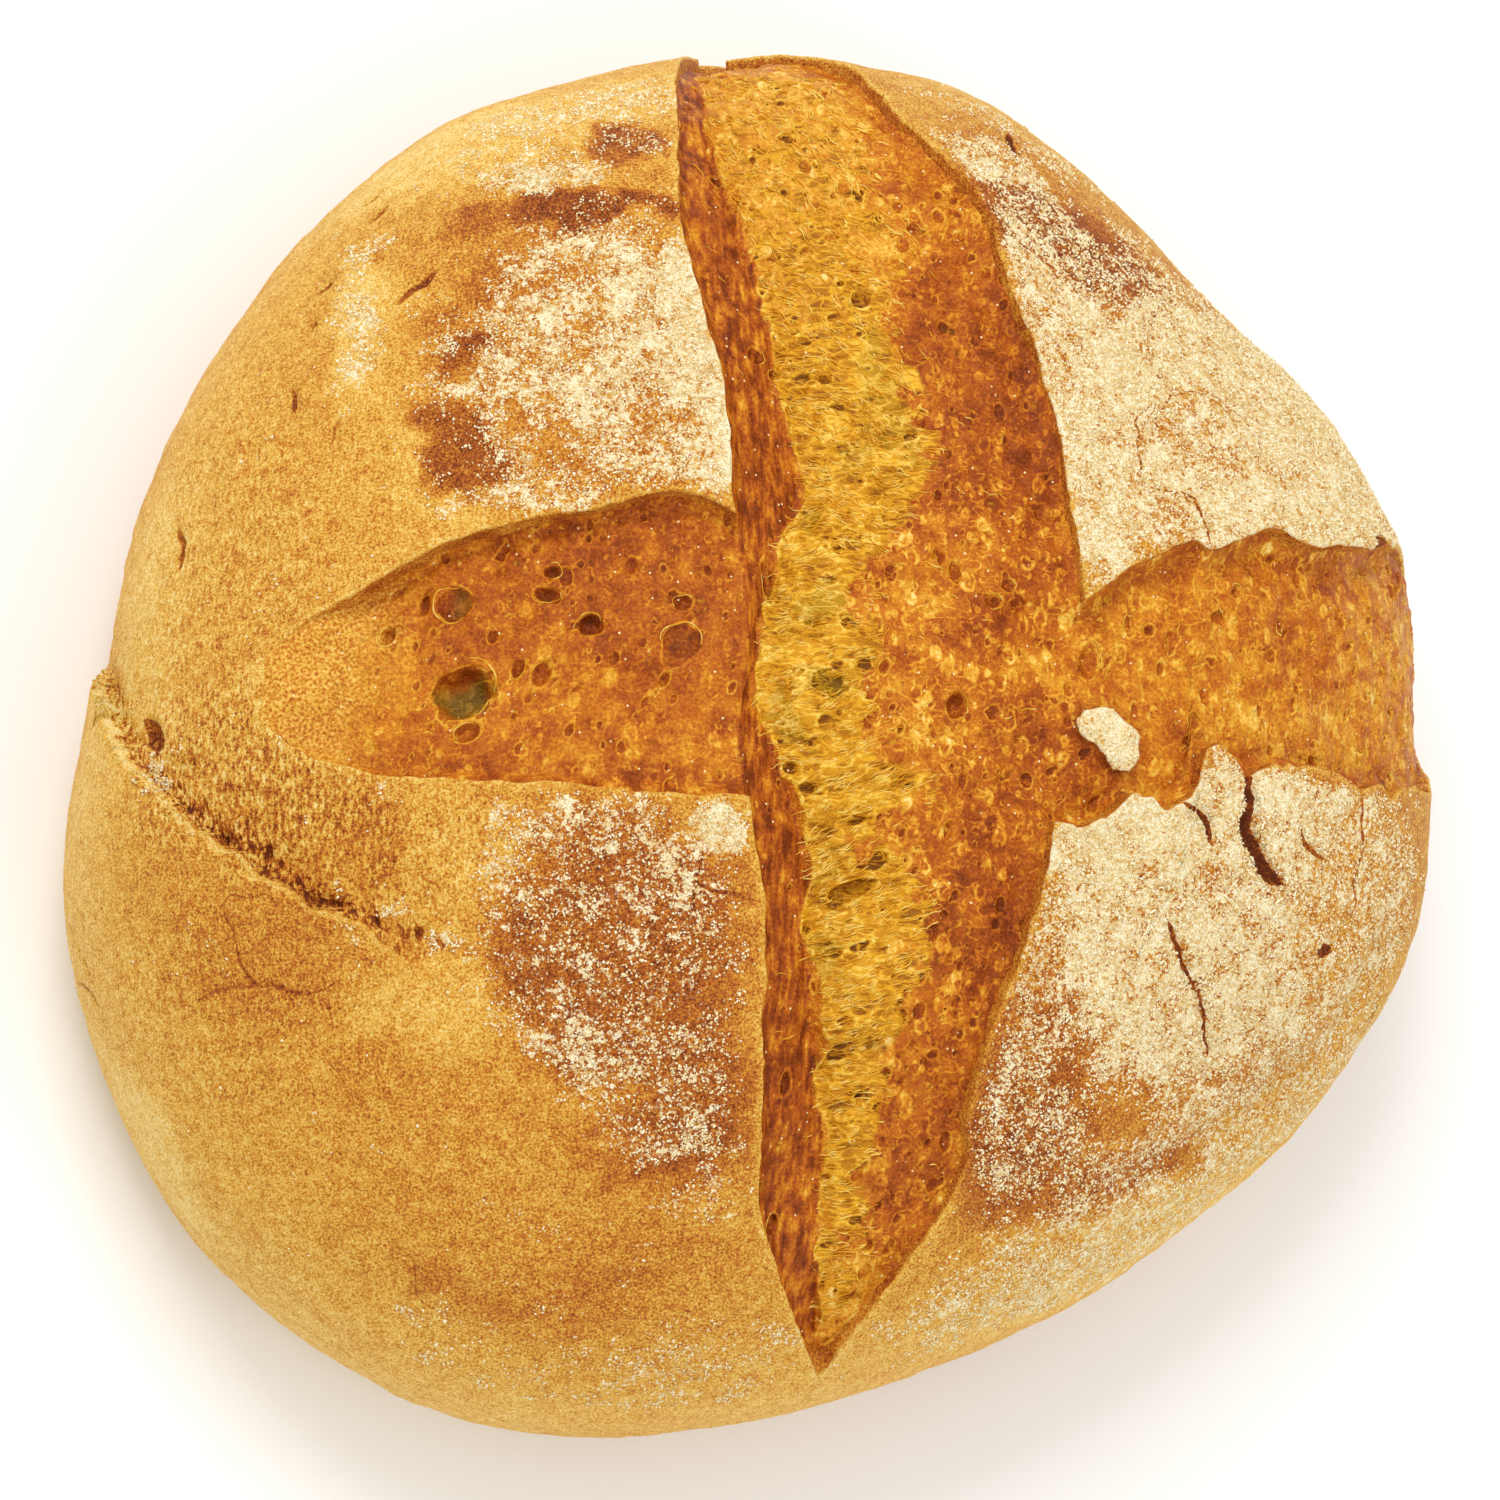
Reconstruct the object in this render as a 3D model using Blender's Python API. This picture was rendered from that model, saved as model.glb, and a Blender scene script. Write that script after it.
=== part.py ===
# Round durum wheat loaf, slashed with a cross before baking
# Sizes are in millimetres. The crust is laid out flat, as a peel measured over the surface
# from the crown, and is then wrapped round the loaf and closed by the flat base.

import bpy
import bmesh
import numpy as np

MM = 0.001

# Plan and height of the loaf
PLAN_RADII = [119.7, 122.5, 120.6, 116.1, 118.0, 122.3, 120.8, 119.9,
              120.2, 117.7, 115.0, 113.8, 115.8, 124.4, 128.8, 132.5,
              131.1, 125.2, 117.2, 113.5, 111.9, 113.2, 118.6, 122.6]
MEAN_RADIUS = 115.0
HEIGHT = 90.0
GIRTH_HEIGHT = 24.0
BASE_INSET = 17.0
CROWN_SHIFT = (6.0, 4.0)
DOME_ROUND = 2.25
DOME_FALL = 2.15
UNDER_ROUND = 2.5

# Long cut, front to back: places along it, and its left lip, right lip and valley there
CUT_Y = [-125, -107, -91, -83, -70, -45, -28, -22, 11, 23, 46, 68, 79, 98, 127, 150]
CUT_LEFT = [3, -7, -15, -17.5, -19.5, -21, -22.5, -24, -28, -29, -29, -32, -32, -29, -21, -15]
CUT_RIGHT = [3, 9, 17, 18, 17, 24, 27, 27.5, 30, 30, 28, 22, 21, 11, 0, -13]
VALLEY_Y = [-125, -106, -87, -70, -53, -36, -22, -8, 5, 15, 33, 60, 81, 99, 150]
VALLEY_X = [3, -2, -5, -8, -12, -12, -16, -22, -25, -20, -15, -19, -23, -25, -15]
VALLEY_DEPTH = [0, 3.5, 6, 7.5, 8.5, 9, 7.5, 6, 5.5, 7.5, 9.5, 8.5, 7, 5.5, 1]

# Short cut, left and right arm: places along them, and their upper and lower lips there
LEFT_ARM_X = [-107, -99, -88, -77, -51, -36, -29, 0]
LEFT_ARM_UPPER = [-3, 5, 12, 18, 24, 26, 23, 20]
LEFT_ARM_LOWER = [-5, -12, -18, -20, -21.5, -22, -22, -24]
RIGHT_ARM_X = [0, 29, 36, 47, 53, 61, 90, 117, 172]
RIGHT_ARM_UPPER = [16, 11, 15.5, 21, 23, 25, 30, 39, 24]
RIGHT_ARM_LOWER = [-25, -28, -23, -21, -11, -13, -12, -9, 4]

# Depth below the crust across each cut, from one lip to the other
WALL_ACROSS = [0, 0.2, 0.8, 1]
WALL_SHARE = [0, 0.5, 0.85, 1]
FLOOR_ACROSS = [0, 0.1, 0.3, 0.65, 0.9, 0.96, 1]
FLOOR_SHARE = [1, 0.72, 0.5, 0.3, 0.32, 0.38, 0]
LEFT_ACROSS = [-1, -0.9, -0.6, 0, 0.65, 0.92, 1]
LEFT_DEPTH = [0, 3.5, 3, 2, 3.4, 5.5, 0]
RIGHT_ACROSS = [-1, -0.88, 0, 0.86, 1]
RIGHT_DEPTH = [0, 3.2, 2.4, 3.4, 0]
FULL_HALF_WIDTH = 18.0

# Crust raised along the lips
LIP_LIFT = 1.6
LIP_REACH = 14.0

# Tear along the lower left side, where the lower crust stands out past the upper one
TEAR_PATH = [(-160, 16), (-133, -7), (-118, -20), (-101, -30), (-82, -39), (-59, -44)]
TEAR_STEP = 3.2
TEAR_HOLLOW = 2.0
TEAR_REACH = 26.0

# Shallow fold across the lower right
FOLD_PATH = [(112, -30), (104, -42), (101, -56), (87, -69), (66, -84), (48, -90)]
FOLD_DEPTH = 1.4
FOLD_WIDTH = 5.0

# Burst bubbles in the cuts: place, half width, half height, depth
BUBBLES = [(-71, -6, 5.2, 4.6, 4.5), (-38, 1, 3.4, 3.6, 2.0), (-75, 9, 3.4, 3.4, 1.6),
           (-53, 4, 2.8, 2.8, 2.0), (9, -8, 2.4, 3.4, 2.2), (-6, -37, 5.0, 2.6, 2.5),
           (-12, -4, 4.0, 2.4, 2.0), (32, 2, 2.6, 3.6, 1.4), (-60, 10, 2.6, 2.2, 1.8)]

# Unevenness of crust and torn crumb: wave length and height
CRUST_WAVES = [(46, 0.9), (21, 0.35)]
CRUMB_WAVES = [(13, 0.7), (6.5, 0.55)]
NOISE_SEED = 7

# Mesh: cells of the peel in each block, and rows from the girth down to the base
COLUMNS = [24, 16, 24]
ROWS = [24, 14, 24]
CORNER_ANGLES = np.radians([225, 315, 135, 45])
UNDER_ROWS = 5
TIP_GUARD = 10.0
RIM_GUARD = 24.0

CRUST_COLOUR = (0.55, 0.27, 0.07, 1)
CRUST_ROUGHNESS = 0.62


def curve_through(x, places, values):
    """Smooth curve through the given values: a cubic Hermite with mean slopes at each place."""
    places = np.asarray(places, float)
    values = np.asarray(values, float)
    slopes = np.gradient(values, places)
    x = np.clip(x, places[0], places[-1])
    k = np.clip(np.searchsorted(places, x) - 1, 0, len(places) - 2)
    width = places[k + 1] - places[k]
    t = (x - places[k]) / width
    rise = values[k + 1] - values[k]
    bend_in = slopes[k] * width - rise
    bend_out = rise - slopes[k + 1] * width
    return values[k] + t * rise + t * (1 - t) * ((1 - t) * bend_in + t * bend_out)


def smoothstep(x, low, high):
    """0 below low, 1 above high, and a smooth S between them."""
    t = np.clip((x - low) / (high - low), 0, 1)
    return t * t * (3 - 2 * t)


def waves(x, y, length, seed):
    """Uneven waves about 0: random heights on a square net, joined smoothly."""
    net = np.random.default_rng(seed).uniform(-1, 1, (64, 64))
    u, v = x / length + 100, y / length + 100
    i, j = np.floor(u).astype(int), np.floor(v).astype(int)
    a, b = smoothstep(u - i, 0, 1), smoothstep(v - j, 0, 1)
    near = net[i % 64, j % 64] * (1 - a) + net[(i + 1) % 64, j % 64] * a
    far = net[i % 64, (j + 1) % 64] * (1 - a) + net[(i + 1) % 64, (j + 1) % 64] * a
    return near * (1 - b) + far * b


def profile():
    """Side view of the crust from crown to base, against the length measured along it.

    The dome is a quarter of a superellipse from the crown to the girth, and the underside
    another from the girth to the base. Returns length, share of the plan radius, inset, height.
    """
    angle = np.linspace(0, np.pi / 2, 400)
    share = np.sin(angle) ** (2 / DOME_ROUND)
    height = GIRTH_HEIGHT + (HEIGHT - GIRTH_HEIGHT) * np.cos(angle) ** (2 / DOME_FALL)
    under_height = GIRTH_HEIGHT * (1 - np.sin(angle) ** (2 / UNDER_ROUND))
    under_inset = BASE_INSET * (1 - np.cos(angle) ** (2 / UNDER_ROUND))
    share = np.concatenate([share, np.ones(399)])
    inset = np.concatenate([np.zeros(400), under_inset[1:]])
    height = np.concatenate([height, under_height[1:]])
    across = MEAN_RADIUS * share - inset
    steps = np.hypot(np.diff(across), np.diff(height))
    length = np.concatenate([[0], np.cumsum(steps)])
    return length, share, inset, height


LENGTH, SHARE, INSET, RISE = profile()
GIRTH_REACH = LENGTH[399]
BASE_REACH = LENGTH[-1]


def plan_radius(angle):
    """Radius of the loaf's plan at an angle: a smooth closed curve through the plan radii."""
    count = len(PLAN_RADII)
    turns = np.arange(-2, count + 3) * 2 * np.pi / count
    radii = [PLAN_RADII[k % count] for k in range(-2, count + 3)]
    return curve_through(angle % (2 * np.pi), turns, radii)


def bare_loaf(x, y):
    """Point of the smooth loaf under a point of the flat peel."""
    reach = np.hypot(x, y)
    angle = np.arctan2(y, x)
    share = np.interp(reach, LENGTH, SHARE)
    across = share * plan_radius(angle) - np.interp(reach, LENGTH, INSET)
    shift = 1 - share ** 2
    return np.stack([CROWN_SHIFT[0] * shift + across * np.cos(angle),
                     CROWN_SHIFT[1] * shift + across * np.sin(angle),
                     np.interp(reach, LENGTH, RISE)], -1)


def outward(x, y):
    """Outward direction of the smooth loaf: the cross product of two short steps on it."""
    step = 1.5
    along = bare_loaf(x + step, y) - bare_loaf(x - step, y)
    up = bare_loaf(x, y + step) - bare_loaf(x, y - step)
    normal = np.cross(along, up)
    return normal / np.linalg.norm(normal, axis=-1, keepdims=True)


def long_cut(x, y):
    """Depth of the long cut: a steep wall to its valley, then a floor rising to the right."""
    left = curve_through(y, CUT_Y, CUT_LEFT)
    right = curve_through(y, CUT_Y, CUT_RIGHT)
    valley = np.clip(curve_through(y, VALLEY_Y, VALLEY_X), left + 1, None)
    deepest = curve_through(y, VALLEY_Y, VALLEY_DEPTH)
    wall = np.interp((x - left) / (valley - left), WALL_ACROSS, WALL_SHARE)
    floor_place = (x - valley) / np.maximum(right - valley, 1)
    floor = np.interp(floor_place, FLOOR_ACROSS, FLOOR_SHARE)
    depth = deepest * np.where(x < valley, wall, floor)
    outside = np.maximum(left - x, x - right)
    inside = (outside < 0) & (y > CUT_Y[0]) & (y < CUT_Y[-1])
    beyond = np.maximum(np.maximum(CUT_Y[0] - y, y - CUT_Y[-1]), 0)
    return np.where(inside, depth, 0), np.hypot(np.maximum(outside, 0), beyond)


def arm(x, y, places, upper_lip, lower_lip, across, depths, reach):
    """Depth of one arm of the short cut, and the distance from a point to its lips."""
    upper = curve_through(x, places, upper_lip)
    lower = curve_through(x, places, lower_lip)
    half = np.maximum((upper - lower) / 2, 0.5)
    place = (y - (upper + lower) / 2) / half
    depth = np.interp(place, across, depths) * np.minimum(1, half / FULL_HALF_WIDTH) * reach
    outside = np.maximum(np.abs(place) - 1, 0) * half
    beyond = np.maximum(np.maximum(places[0] - x, x - places[-1]), 0)
    return np.where(beyond > 0, 0, depth), np.hypot(outside, beyond)


def cuts(x, y):
    """Depth of the crossed cuts, and how far outside their lips a point lies."""
    long_depth, long_away = long_cut(x, y)
    left_end = 1 - smoothstep(x, -16, -4)
    right_end = smoothstep(x, 6, 22) * (1 - smoothstep(x, 126, 170))
    left_depth, left_away = arm(x, y, LEFT_ARM_X, LEFT_ARM_UPPER, LEFT_ARM_LOWER,
                                LEFT_ACROSS, LEFT_DEPTH, left_end)
    right_depth, right_away = arm(x, y, RIGHT_ARM_X, RIGHT_ARM_UPPER, RIGHT_ARM_LOWER,
                                  RIGHT_ACROSS, RIGHT_DEPTH, right_end)
    depth = np.maximum(long_depth, np.maximum(left_depth, right_depth))
    away = np.minimum(long_away, np.minimum(left_away, right_away))
    return depth, away


def path_distance(x, y, points):
    """Distance to a smooth path, signed by side, and the share of the path passed."""
    points = np.array(points, float)
    stations = np.linspace(0, len(points) - 1, 90)
    path_x = curve_through(stations, np.arange(len(points)), points[:, 0])
    path_y = curve_through(stations, np.arange(len(points)), points[:, 1])
    gap_x = x[..., None] - path_x
    gap_y = y[..., None] - path_y
    nearest = np.argmin(gap_x ** 2 + gap_y ** 2, -1)
    away_x = np.take_along_axis(gap_x, nearest[..., None], -1)[..., 0]
    away_y = np.take_along_axis(gap_y, nearest[..., None], -1)[..., 0]
    way_x = np.gradient(path_x)[nearest]
    way_y = np.gradient(path_y)[nearest]
    side = np.sign(way_y * away_x - way_x * away_y)
    return side * np.hypot(away_x, away_y), nearest / (len(stations) - 1)


def relief(x, y):
    """Height of the real crust and crumb above the smooth loaf."""
    depth, away = cuts(x, y)
    inside = smoothstep(depth, 0.5, 2.5)
    height = LIP_LIFT * np.exp(-away / LIP_REACH) * (1 - inside) - depth

    tear, passed = path_distance(x, y, TEAR_PATH)
    strength = 1 - smoothstep(passed, 0.72, 1)
    lower_side = np.exp(-np.maximum(tear, 0) / TEAR_REACH) * smoothstep(tear, -0.5, 2.5)
    upper_side = np.exp(-np.maximum(-tear, 0) / 6) * (1 - smoothstep(tear, -0.5, 2.5))
    height += strength * (TEAR_STEP * lower_side - TEAR_HOLLOW * upper_side)

    fold, passed = path_distance(x, y, FOLD_PATH)
    strength = smoothstep(passed, 0, 0.2) * (1 - smoothstep(passed, 0.8, 1))
    height -= FOLD_DEPTH * strength * np.exp(-(fold / FOLD_WIDTH) ** 2)

    for middle_x, middle_y, half_x, half_y, hollow in BUBBLES:
        distance = np.hypot((x - middle_x) / half_x, (y - middle_y) / half_y)
        height -= hollow * (1 - smoothstep(distance, 0.35, 1.15))

    for k, (length, size) in enumerate(CRUST_WAVES):
        height += size * waves(x, y, length, NOISE_SEED + k) * (1 - 0.5 * inside)
    for k, (length, size) in enumerate(CRUMB_WAVES):
        height += size * waves(x, y * 1.6, length, NOISE_SEED + 10 + k) * inside
    return height


def wrap(x, y):
    """Point of the finished loaf for a point of the flat peel; the relief dies out at the base."""
    settle = 1 - smoothstep(np.hypot(x, y), GIRTH_REACH + 4, BASE_REACH)
    point = bare_loaf(x, y) + outward(x, y) * (relief(x, y) * settle)[..., None]
    return np.where(settle[..., None] > 0, point, bare_loaf(x, y))


def spread(place, low, high):
    """Half width that mesh lines keep at least, so that cells past the cut's ends stay broad."""
    end = smoothstep(place, -high, -low) * (1 - smoothstep(place, low, high))
    return TIP_GUARD + (RIM_GUARD - TIP_GUARD) * (1 - end)


def upright_line(y, side):
    """Mesh line along the left (-1) or right (+1) lip of the long cut, kept clear at its ends."""
    left = curve_through(y, CUT_Y, CUT_LEFT)
    right = curve_through(y, CUT_Y, CUT_RIGHT)
    middle = (left + right) / 2
    half = np.maximum((right - left) / 2, spread(y, 100, 147))
    return middle + side * half


def level_line(x, side):
    """Mesh line along the lower (-1) or upper (+1) lips of the short cut."""
    upper = np.where(x < 0, curve_through(x, LEFT_ARM_X, LEFT_ARM_UPPER),
                     curve_through(x, RIGHT_ARM_X, RIGHT_ARM_UPPER))
    lower = np.where(x < 0, curve_through(x, LEFT_ARM_X, LEFT_ARM_LOWER),
                     curve_through(x, RIGHT_ARM_X, RIGHT_ARM_LOWER))
    middle = (upper + lower) / 2
    half = np.maximum((upper - lower) / 2, spread(x, 90, 147))
    return middle + side * half


def crossing(upright_side, level_side):
    """Point where a mesh line of the long cut meets one of the short cut."""
    x = upright_side * 28.0
    for _ in range(20):
        y = float(level_line(np.array(x), level_side))
        x = float(upright_line(np.array(y), upright_side))
    return x, y


def rim_meeting(line, side, end):
    """Distance along a line at which it reaches the girth, at its low (-1) or high (+1) end."""
    along = end * GIRTH_REACH
    for _ in range(20):
        across = float(line(np.array(along), side))
        along = end * np.sqrt(GIRTH_REACH ** 2 - across ** 2)
    return along


def stretches(stops, counts):
    """Even steps between each stop and the next."""
    pieces = [np.linspace(a, b, n + 1)[:-1] for a, b, n in zip(stops[:-1], stops[1:], counts)]
    return np.concatenate(pieces + [[stops[-1]]])


def block_lines():
    """The four lines each way that bound the blocks of the peel, as points for each cell."""
    meet = {(a, b): crossing(a, b) for a in (-1, 1) for b in (-1, 1)}
    upright = []
    level = []
    for side in (-1, 1):
        low = rim_meeting(upright_line, side, -1)
        high = rim_meeting(upright_line, side, 1)
        y = stretches([low, meet[side, -1][1], meet[side, 1][1], high], ROWS)
        upright.append(np.stack([upright_line(y, side), y], -1))
        low = rim_meeting(level_line, side, -1)
        high = rim_meeting(level_line, side, 1)
        x = stretches([low, meet[-1, side][0], meet[1, side][0], high], COLUMNS)
        level.append(np.stack([x, level_line(x, side)], -1))

    def arc(points, start, end, counts):
        """Girth from one corner of the peel to the next, through the ends of two lines."""
        turns = [start] + [np.arctan2(p[1], p[0]) for p in points] + [end]
        angle = stretches(np.unwrap(turns), counts)
        return GIRTH_REACH * np.stack([np.cos(angle), np.sin(angle)], -1)

    south_west, south_east, north_west, north_east = CORNER_ANGLES
    west = arc([level[0][0], level[1][0]], south_west, north_west, ROWS)
    east = arc([level[0][-1], level[1][-1]], south_east, north_east, ROWS)
    south = arc([upright[0][0], upright[1][0]], south_west, south_east, COLUMNS)
    north = arc([upright[0][-1], upright[1][-1]], north_west, north_east, COLUMNS)
    return [west] + upright + [east], [south] + level + [north]


def peel():
    """Flat places of the mesh points: in each block, its four sides blended (a Coons patch)."""
    upright, level = block_lines()
    flat = np.zeros((sum(COLUMNS) + 1, sum(ROWS) + 1, 2))
    column_stops = np.cumsum([0] + COLUMNS)
    row_stops = np.cumsum([0] + ROWS)
    for a in range(3):
        for b in range(3):
            i = slice(column_stops[a], column_stops[a + 1] + 1)
            j = slice(row_stops[b], row_stops[b + 1] + 1)
            u = np.linspace(0, 1, COLUMNS[a] + 1)[:, None, None]
            v = np.linspace(0, 1, ROWS[b] + 1)[None, :, None]
            left, right = upright[a][j][None, :], upright[a + 1][j][None, :]
            low, high = level[b][i][:, None], level[b + 1][i][:, None]
            corners = ((1 - u) * (1 - v) * low[:1] + u * (1 - v) * low[-1:]
                       + (1 - u) * v * high[:1] + u * v * high[-1:])
            flat[i, j] = (1 - u) * left + u * right + (1 - v) * low + v * high - corners
    return flat


def crust_material():
    """Golden brown baked crust."""
    material = bpy.data.materials.new("crust")
    material.use_nodes = True
    shader = material.node_tree.nodes["Principled BSDF"]
    shader.inputs["Base Color"].default_value = CRUST_COLOUR
    shader.inputs["Roughness"].default_value = CRUST_ROUGHNESS
    shader.inputs["Metallic"].default_value = 0
    return material


def loaf_mesh():
    """Lay the peel out flat, add rows outside it, wrap it round the loaf and close the base."""
    bm = bmesh.new()
    columns, rows = sum(COLUMNS), sum(ROWS)
    bmesh.ops.create_grid(bm, x_segments=columns, y_segments=rows, size=1)
    flat = peel()
    for vert in bm.verts:
        i = round((vert.co.x + 1) / 2 * columns)
        j = round((vert.co.y + 1) / 2 * rows)
        vert.co = (flat[i, j, 0], flat[i, j, 1], 0)

    reach = GIRTH_REACH
    for k in range(UNDER_ROWS):
        wider = GIRTH_REACH + (BASE_REACH - GIRTH_REACH) * (k + 1) / UNDER_ROWS
        edges = [edge for edge in bm.edges if edge.is_boundary]
        ring = bmesh.ops.extrude_edge_only(bm, edges=edges)["geom"]
        for vert in ring:
            if isinstance(vert, bmesh.types.BMVert):
                vert.co *= wider / reach
        reach = wider

    places = np.array([vert.co[:] for vert in bm.verts])
    points = wrap(places[:, 0], places[:, 1]) * MM
    for vert, point in zip(bm.verts, points):
        vert.co = point
    bmesh.ops.holes_fill(bm, edges=[edge for edge in bm.edges if edge.is_boundary])
    bmesh.ops.triangulate(bm, faces=bm.faces, quad_method="SHORT_EDGE")
    bmesh.ops.recalc_face_normals(bm, faces=bm.faces)

    mesh = bpy.data.meshes.new("loaf")
    bm.to_mesh(mesh)
    bm.free()
    mesh.shade_smooth()
    return mesh


for thing in list(bpy.data.objects):
    bpy.data.objects.remove(thing)
loaf = bpy.data.objects.new("loaf", loaf_mesh())
loaf.data.materials.append(crust_material())
bpy.context.collection.objects.link(loaf)
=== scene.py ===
import bpy
import numpy as np
from mathutils import Matrix, Vector


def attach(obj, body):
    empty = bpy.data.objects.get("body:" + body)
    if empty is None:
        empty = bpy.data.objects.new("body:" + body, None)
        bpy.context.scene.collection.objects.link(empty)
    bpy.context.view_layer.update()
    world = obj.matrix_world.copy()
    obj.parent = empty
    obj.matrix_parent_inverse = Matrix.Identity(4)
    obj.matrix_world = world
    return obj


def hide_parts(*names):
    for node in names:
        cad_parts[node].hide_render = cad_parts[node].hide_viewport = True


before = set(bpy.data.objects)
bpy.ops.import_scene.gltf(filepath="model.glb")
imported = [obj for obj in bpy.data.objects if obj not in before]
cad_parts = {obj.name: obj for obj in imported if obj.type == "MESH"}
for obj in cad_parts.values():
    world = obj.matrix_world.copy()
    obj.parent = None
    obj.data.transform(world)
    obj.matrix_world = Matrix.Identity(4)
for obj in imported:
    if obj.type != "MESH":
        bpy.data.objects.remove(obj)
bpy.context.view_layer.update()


# Crust
# The baked skin of a round durum wheat loaf: stretched over the risen dough, slashed with a
# cross, opened in the oven and torn once along its lower left side. Sizes are in millimetres,
# and places are measured over the crust from the crown, x to the right and y away.

MM = 0.001

# Radius of the plan every 15 degrees, from the right and round by the far side
PLAN_RADII = [119.7, 122.5, 120.6, 116.1, 118.0, 122.3, 120.8, 119.9,
              120.2, 117.7, 115.0, 113.8, 115.8, 124.4, 128.8, 132.5,
              131.1, 125.2, 117.2, 113.5, 111.9, 113.2, 118.6, 122.6]
MEAN_RADIUS = 115.0
HEIGHT = 90.0
GIRTH_HEIGHT = 24.0
BASE_INSET = 17.0
CROWN_SHIFT = (6.0, 4.0)

# Roundness of the dome from above, of its fall from the side, and of the underside: 2 is a circle
DOME_ROUND = 2.25
DOME_FALL = 2.15
UNDER_ROUND = 2.5

# Lips of the long cut, and of the short cut's left and right arm
CUT_Y = [-125, -107, -91, -83, -70, -45, -28, -22, 11, 23, 46, 68, 79, 98, 127, 137, 144.5]
CUT_LEFT = [3, -7, -15, -17.5, -19.5, -21, -22.5, -24, -28, -29, -29, -32, -32, -29, -22, -17.5, -12.3]
CUT_RIGHT = [3, 9, 17, 18, 17, 24, 27, 27.5, 30, 30, 28, 22, 21, 12.5, 5, -4, -11.9]
LEFT_ARM_X = [-107, -99, -88, -77, -51, -36, -29, 0]
LEFT_ARM_UPPER = [-3, 5, 12, 18, 24, 26, 23, 20]
LEFT_ARM_LOWER = [-5, -12, -18, -20, -21.5, -22, -22, -24]
RIGHT_UPPER_LIP = [(0, 16), (29, 10.5), (33, 13), (38, 17), (44, 20), (50, 23.5), (52, 23.8),
                   (54, 22), (57, 23.5), (62, 26), (67, 28), (71, 28.7), (76, 27), (80, 27.5),
                   (86, 29.5), (96, 30.8), (98, 32.5), (101, 34), (110, 36), (117, 38), (127, 37),
                   (135, 33), (141, 26), (145, 19), (147, 13.5), (172, 13)]
RIGHT_LOWER_LIP = [(0, -25), (26, -27), (30, -26.5), (35, -25), (37, -22.5), (39, -19.5),
                   (42, -19), (45, -21), (48, -20.5), (50, -18.5), (51.5, -11.5), (55, -11),
                   (58, -12.5), (60, -15.5), (61.5, -13), (64, -12), (75, -11.8), (87, -12),
                   (88.5, -13.8), (90.5, -12.4), (100, -11.8), (117, -9), (127, -6), (135, -1),
                   (141, 5), (145, 9), (147, 13), (172, 13)]

# Where skin and crumb run together at the left arm's tip
TIP_CLOSING = (-102, -86)

# How far the skin lifts at a lip, and how far that reaches
LIP_LIFT = 1.6
LIP_REACH = 14.0

# The torn edge, the height of its flap, the hollow above it, and how far the flap's swell reaches
TEAR_PATH = [(-160, 16), (-133, -8), (-120, -19), (-109, -27), (-99, -31.5), (-90, -37.5),
             (-80, -41), (-71, -45), (-58, -44)]
TEAR_STEP = 3.2
TEAR_HOLLOW = 2.0
TEAR_REACH = 26.0

# A shallow fold across the lower right, and the skin's waves: length and height
FOLD_PATH = [(112, -30), (104, -42), (101, -56), (87, -69), (66, -84), (48, -90)]
FOLD_DEPTH = 1.4
FOLD_WIDTH = 5.0
CRUST_WAVES = [(46, 0.9), (21, 0.35), (8, 0.22), (3.6, 0.14), (1.9, 0.08)]
NOISE_SEED = 7

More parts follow.
